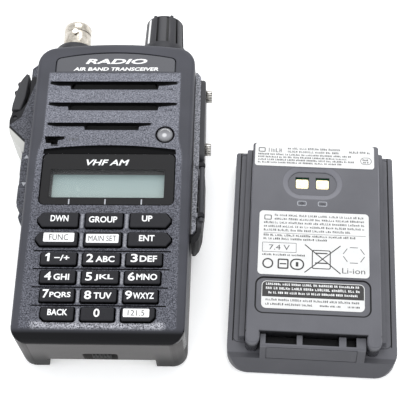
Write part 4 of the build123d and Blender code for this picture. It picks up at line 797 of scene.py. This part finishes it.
# ---------------------------------------------------------------- key legends
# key: rows of (string, centre x, centre y, width, height), in mm on the key tops
LEGENDS = {
    "key_down": [("DWN", -13.7, -13.6, 5.5, 2.1)],
    "key_group": [("GROUP", -0.3, -13.9, 8.7, 2.1)],
    "key_up": [("UP", 13.2, -13.5, 3.2, 2.0)],
    "key_enter": [("ENT", 13.4, -20.1, 4.7, 2.0)],
    "key_1": [("\u2212/+", -11.9, -26.8, 4.6, 1.9)],
    "key_2": [("2", -3.4, -26.8, 2.1, 2.7), ("ABC", 1.2, -27.1, 5.7, 2.0)],
    "key_3": [("3", 9.95, -26.7, 2.1, 2.7), ("DEF", 14.2, -26.9, 5.2, 2.0)],
    "key_4": [("4", -15.6, -32.7, 2.1, 2.7), ("GHI", -11.5, -33.0, 4.7, 2.0)],
    "key_5": [("5", -3.3, -32.8, 2.0, 2.7), ("JKL", 1.2, -33.1, 5.6, 2.0)],
    "key_6": [("6", 9.4, -32.7, 2.1, 2.7), ("MNO", 14.0, -32.8, 6.2, 2.0)],
    "key_7": [("7", -15.7, -38.4, 1.9, 2.7), ("PQRS", -11.4, -38.8, 6.3, 1.95)],
    "key_8": [("8", -3.2, -38.7, 2.1, 2.7), ("TUV", 1.2, -38.9, 5.3, 2.0)],
    "key_9": [("9", 8.9, -38.6, 2.1, 2.7), ("WXYZ", 13.3, -38.8, 6.2, 1.95)],
    "key_back": [("BACK", -11.7, -44.2, 5.9, 1.95)],
    "key_0": [("0", -0.2, -44.3, 1.8, 2.6)],
}
# key: string, box centre x, y, width, height, then the text's width and height
BOXED = {
    "key_function": ("FUNC", -13.4, -20.0, 9.4, 3.0, 5.9, 2.0),
    "key_main_set": ("MAIN SET", -0.1, -20.3, 9.9, 2.9, 8.5, 1.9),
    "key_emergency": ("121.5", 11.4, -44.2, 7.7, 2.6, 4.9, 1.7),
}
# Outline of the digit 1 on its key, in mm.
DIGIT_ONE = [
    (-15.6, -27.95), (-15.6, -25.25), (-16.1, -25.25), (-16.9, -25.95),
    (-16.9, -26.4), (-16.25, -26.1), (-16.25, -27.95),
]
SINK = 0.012  # how deep a printed mark starts under its surface, in mm

for key, rows in LEGENDS.items():
    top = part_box(key)[1].z / MM
    mark = Print()
    for string, x, y, width, height in rows:
        mark.text(string, x, y, width, height, top - SINK, INK_WHITE, 0.022 if len(string) > 1 else 0.018)
    if key == "key_1":
        mark.shape(DIGIT_ONE[::-1], top - SINK, INK_WHITE)
    mark.finish("legend_" + key, key + "_cap", "white_plastic")
for key, (string, x, y, width, height, text_width, text_height) in BOXED.items():
    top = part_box(key)[1].z / MM
    mark = Print()
    mark.shape(rounded_points(x, y, width, height, 0.35), top - SINK, INK_WHITE)
    mark.text(string, x, y, text_width, text_height, top + 0.012, INK_DARK, 0.0)
    mark.finish("legend_" + key, key + "_cap", "white_plastic")

# ---------------------------------------------------------------- face print
plate_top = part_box("brand_plate")[1].z / MM
mark = Print()
mark.text("RADIO", 0.15, 45.15, 20.5, 2.0, plate_top - SINK, INK_WHITE, 0.03, 0.25)
mark.text("AIR BAND TRANSCEIVER", 0.15, 42.1, 28.2, 1.35, plate_top - SINK, INK_WHITE, 0.03, 0.2)
mark.finish("plate_print", "radio", "white_plastic")

mark = Print(0.02)
mark.text("MIC", -11.6, 14.9, 3.2, 1.1, 23.99, INK_GREY, 0.0)
mark.finish("mic_print", "radio", "black_plastic")

SIDE_LEDGE = 17.0  # top of the left side housing, in mm
mark = Print()
mark.shape([(-28.8, 11.9), (-27.2, 11.9), (-28.0, 13.3)], SIDE_LEDGE - SINK, INK_PALE)
mark.shape([(-27.9, 1.7), (-27.1, 3.1), (-28.7, 3.1)], SIDE_LEDGE - SINK, INK_PALE)
mark.finish("arrow_print", "radio", "white_plastic")

# ---------------------------------------------------------------- display
pane_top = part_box("display_window")[1].z / MM
MASK_THICK = 0.04
on_mask = pane_top + MASK_THICK - 2 * SINK
mark = Print(MASK_THICK)
outer = rounded_points(0, 0.8, 41.7, 17.9, 1.6)
inner = rounded_points(-0.1, -0.7, 36.0, 10.0, 0.3)
mark.rim(outer, inner, pane_top - SINK, INK_BLACK)
mark.finish("window_mask", "radio", "black_plastic")

mark = Print()
mark.text("VHF AM", -0.3, 6.75, 13.6, 2.1, on_mask, INK_WHITE, 0.02, 0.25)
for tick_x in (-11.6, -0.3, 11.0):
    mark.bar(tick_x - 0.2, -8.1, tick_x + 0.2, -6.3, on_mask, INK_PALE)
mark.finish("window_print", "radio", "white_plastic")

# ---------------------------------------------------------------- knob pointer
knob_low, knob_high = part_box("volume_knob")
knob_x = (knob_low.x + knob_high.x) / 2 / MM
knob_z = (knob_low.z + knob_high.z) / 2 / MM
STRIPE_ANGLE = math.radians(137)
STRIPE_HALF = math.radians(4.4)
STRIPE_RINGS = ((54.4, 7.03), (60.0, 6.80), (67.2, 6.50), (68.2, 6.40))  # y and radius, in mm
STRIPE_DEPTH = 0.55
mark = bmesh.new()
rings = []
for y, radius in STRIPE_RINGS:
    ring = []
    for depth, turns in ((0.0, (-1, -0.5, 0, 0.5, 1)), (STRIPE_DEPTH, (1, 0.5, 0, -0.5, -1))):
        for turn in turns:
            a = STRIPE_ANGLE + STRIPE_HALF * turn
            r = radius - depth
            x, z = knob_x + r * math.cos(a), knob_z + r * math.sin(a)
            ring.append(mark.verts.new((x * MM, y * MM, z * MM)))
    rings.append(ring)
for a, b in zip(rings, rings[1:]):
    for i in range(len(a)):
        j = (i + 1) % len(a)
        mark.faces.new((a[i], a[j], b[j], b[i]))
mark.faces.new(rings[0])
mark.faces.new(rings[-1][::-1])
bmesh.ops.recalc_face_normals(mark, faces=mark.faces)
stripe_mesh = bpy.data.meshes.new("knob_pointer")
mark.to_mesh(stripe_mesh)
mark.free()
stripe_mesh.materials.append(INK_WHITE)
stripe = bpy.data.objects.new("knob_pointer", stripe_mesh)
scene.collection.objects.link(stripe)
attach(stripe, "knob")

# ---------------------------------------------------------------- pack labels
PACK = Matrix.Translation(Vector(PACK_SPOT)) @ Matrix.Rotation(-PACK_LEAN, 4, "Z")
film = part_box("pack_labels")[1].z / MM
SUNK_FILM = 14.67  # top of the lower label, in its recess
BLOCK_TOP = 14.8

mark = Print(0.02)
z = film - 0.005
mark.rim(rounded_points(-17.4, 33.9, 2.2, 1.6, 0.3), rounded_points(-17.4, 33.9, 1.7, 1.1, 0.2), z, INK_DARK)
mark.words(-15.2, -10.4, 33.1, 1.5, z, INK_GREY, 0.2)
for x0, x1, y in ((-9.0, 8.0, 34.3), (-9.0, 7.4, 33.1)):
    mark.words(x0, x1, y, 0.75, z, INK_GREY)
mark.words(10.8, 17.8, 33.6, 0.75, z, INK_DARK)
for y in (32.0, 31.0, 30.0, 29.0):
    mark.words(-18.6, 12.6 + rng.uniform(-5.0, 0.4), y, 0.62, z, INK_GREY)
mark.rim(rounded_points(16.2, 30.9, 3.6, 2.6, 1.28), rounded_points(16.2, 30.9, 3.25, 2.25, 1.1), z, INK_GREY)
mark.words(15.1, 17.4, 31.0, 0.6, z, INK_GREY)
mark.words(15.3, 17.2, 30.1, 0.6, z, INK_GREY)
# main label: small print, a rule, a boxed line, plain shapes and the cell type
mark.rim(rounded_points(-14.7, 9.4, 2.3, 1.7, 0.3), rounded_points(-14.7, 9.4, 1.8, 1.2, 0.2), z, INK_DARK)
for row, y in enumerate((9.9, 8.6, 7.3, 6.0, 4.7)):
    left = -12.6 if row < 2 else -15.9
    mark.words(left, 15.6 - (4.5 if row == 4 else 0), y, 0.72, z, INK_GREY)
mark.line(-15.9, 4.0, 15.8, 4.0, 0.12, z, INK_GREY)
for y, right in ((2.9, 13.0), (1.7, 5.0)):
    mark.words(-15.9, right, y, 0.72, z, INK_DARK)
box_outer = rounded_points(-10.9, -0.9, 10.6, 3.3, 0.15)
mark.rim(box_outer, rounded_points(-10.9, -0.9, 10.3, 3.0, 0.05), z, INK_GREY)
mark.text("7.4 V", -10.9, -0.9, 6.4, 1.7, z, INK_GREY, 0.0)
mark.words(-16.1, -2.2, -3.7, 0.6, z, INK_DARK)
mark.rim(rounded_points(-14.3, -6.4, 3.4, 3.4, 1.65), rounded_points(-14.3, -6.4, 2.5, 2.5, 1.2), z, INK_DARK)
mark.rim(rounded_points(-9.6, -6.4, 3.4, 3.4, 0.5), rounded_points(-9.6, -6.4, 2.5, 2.5, 0.25), z, INK_DARK)
mark.bar(-10.6, -6.6, -8.6, -6.2, z, INK_DARK)
mark.rim(rounded_points(-5.3, -6.4, 4.4, 3.8, 1.85), rounded_points(-5.3, -6.4, 3.5, 2.9, 1.4), z, INK_DARK)
mark.text("1", -5.3, -6.4, 0.8, 1.5, z, INK_DARK, 0.02)
mark.rim(rounded_points(2.1, -4.5, 5.8, 6.4, 0.6), rounded_points(2.1, -4.5, 5.2, 5.8, 0.4), z, INK_DARK)
mark.bar(0.2, -2.6, 4.0, -2.2, z, INK_DARK)
mark.bar(0.2, -5.9, 4.0, -5.5, z, INK_DARK)
mark.line(-3.0, 0.4, 8.0, -9.0, 0.32, z + 0.002, INK_DARK)
mark.line(-3.0, -9.0, 8.0, 0.4, 0.32, z + 0.004, INK_DARK)
for k in range(6):
    a0, a1 = math.radians(60 * k + 8), math.radians(60 * k + 52)
    x0, y0 = 12.1 + 3.3 * math.cos(a0), -2.6 + 2.8 * math.sin(a0)
    x1, y1 = 12.1 + 3.3 * math.cos(a1), -2.6 + 2.8 * math.sin(a1)
    mark.line(x0, y0, x1, y1, 0.22, z, INK_GREY)
mark.text("Li-ion", 12.0, -7.9, 7.0, 1.8, z, INK_GREY, 0.0)
# lower label: dark block with three pale lines, pale block with two dark ones
z = SUNK_FILM - 0.005
dark_part = rounded_points(-0.3, -16.6, 30.8, 8.5, 1.3)[:14] + [(-15.7, -17.3), (15.1, -17.3)]
mark.shape(dark_part, z, INK_DARK)
z += 0.015
for y, height in ((-13.5, 0.7), (-14.9, 0.8), (-16.3, 0.7)):
    mark.words(-14.6 if y > -16 else -13.8, 14.0 if y > -16 else 13.4, y, height, z, INK_WHITE, 0.17)
z -= 0.015
mark.words(-14.6, 14.2, -18.6, 0.7, z, INK_GREY)
mark.words(-14.6, 0.3, -20.0, 0.7, z, INK_DARK)
mark.words(1.8, 8.6, -19.95, 0.55, z, INK_GREY)
mark.words(10.2, 13.8, -19.95, 0.55, z, INK_GREY)
mark.finish("label_print", "battery_pack", "black_plastic", PACK)

# polarity marks moulded beside the contacts, outlined in pale ink
mark = Print(0.03)
for mark_x in (-4.15, 2.35):
    z = BLOCK_TOP - SINK
    outer = rounded_points(mark_x, 14.8, 2.9, 1.7, 0.5)
    inner = rounded_points(mark_x, 14.8, 2.5, 1.3, 0.35)
    mark.rim(outer, inner, z, INK_PALE)
mark.finish("polarity_print", "battery_pack", "white_plastic", PACK)

# ---------------------------------------------------------------- floor, light, camera
FLOOR_GLOW = 0.33
STUDIO_LIGHT = 1.32
FOCAL_MM = 92.493
CAMERA_PLACE = (0.04176, -0.15155, 0.30586)
CAMERA_TURNS = ((4.965, "Z"), (27.316, "X"), (-4.079, "Z"))  # degrees, outermost first
floor_mesh = bmesh.new()
reach = 3.0
steps = 8
FLOOR_Z = -0.00004
marks = [-reach + 2 * reach * i / steps for i in range(steps + 1)]
grid = [[floor_mesh.verts.new((x, y, FLOOR_Z)) for y in marks] for x in marks]
for i in range(steps):
    for j in range(steps):
        floor_mesh.faces.new((grid[i][j], grid[i + 1][j], grid[i + 1][j + 1], grid[i][j + 1]))
made = bpy.data.meshes.new("floor")
floor_mesh.to_mesh(made)
floor_mesh.free()
g = Graph("paper_floor")
paper = g.noise(40.0, 3.0)
paint = g.blend(paper, (0.84, 0.84, 0.84), (0.88, 0.88, 0.88))
shader = g.surface(paint, 0.8, g.bump(g.noise(1.5, 2.0), 0.01))
g.put(shader.inputs["Emission Color"], paint)
shader.inputs["Emission Strength"].default_value = FLOOR_GLOW
made.materials.append(g.material)
floor = bpy.data.objects.new("floor", made)
scene.collection.objects.link(floor)

world = bpy.data.worlds.new("studio")
scene.world = world
world.use_nodes = True
world.node_tree.nodes["Background"].inputs["Color"].default_value = (0.97, 0.985, 1.0, 1)
world.node_tree.nodes["Background"].inputs["Strength"].default_value = STUDIO_LIGHT


def softbox(name, place, target, width, height, watts):
    lamp = bpy.data.lights.new(name, "AREA")
    lamp.shape = "RECTANGLE"
    lamp.size = width
    lamp.size_y = height
    lamp.energy = watts
    holder = bpy.data.objects.new(name, lamp)
    holder.location = place
    holder.rotation_euler = (Vector(target) - Vector(place)).to_track_quat("-Z", "Y").to_euler()
    scene.collection.objects.link(holder)


softbox("top_softbox", (0.05, 0.55, 0.50), (0.02, 0.0, 0.0), 0.50, 0.26, 2.6)

lens = bpy.data.cameras.new("photo_camera")
lens.lens = FOCAL_MM
lens.sensor_width = 36.0
lens.clip_start = 0.01
camera = bpy.data.objects.new("photo_camera", lens)
turn = Matrix.Identity(4)
for degrees, axis in CAMERA_TURNS:
    turn = turn @ Matrix.Rotation(math.radians(degrees), 4, axis)
camera.matrix_world = Matrix.Translation(CAMERA_PLACE) @ turn
scene.collection.objects.link(camera)
scene.camera = camera
scene.view_settings.view_transform = "Standard"
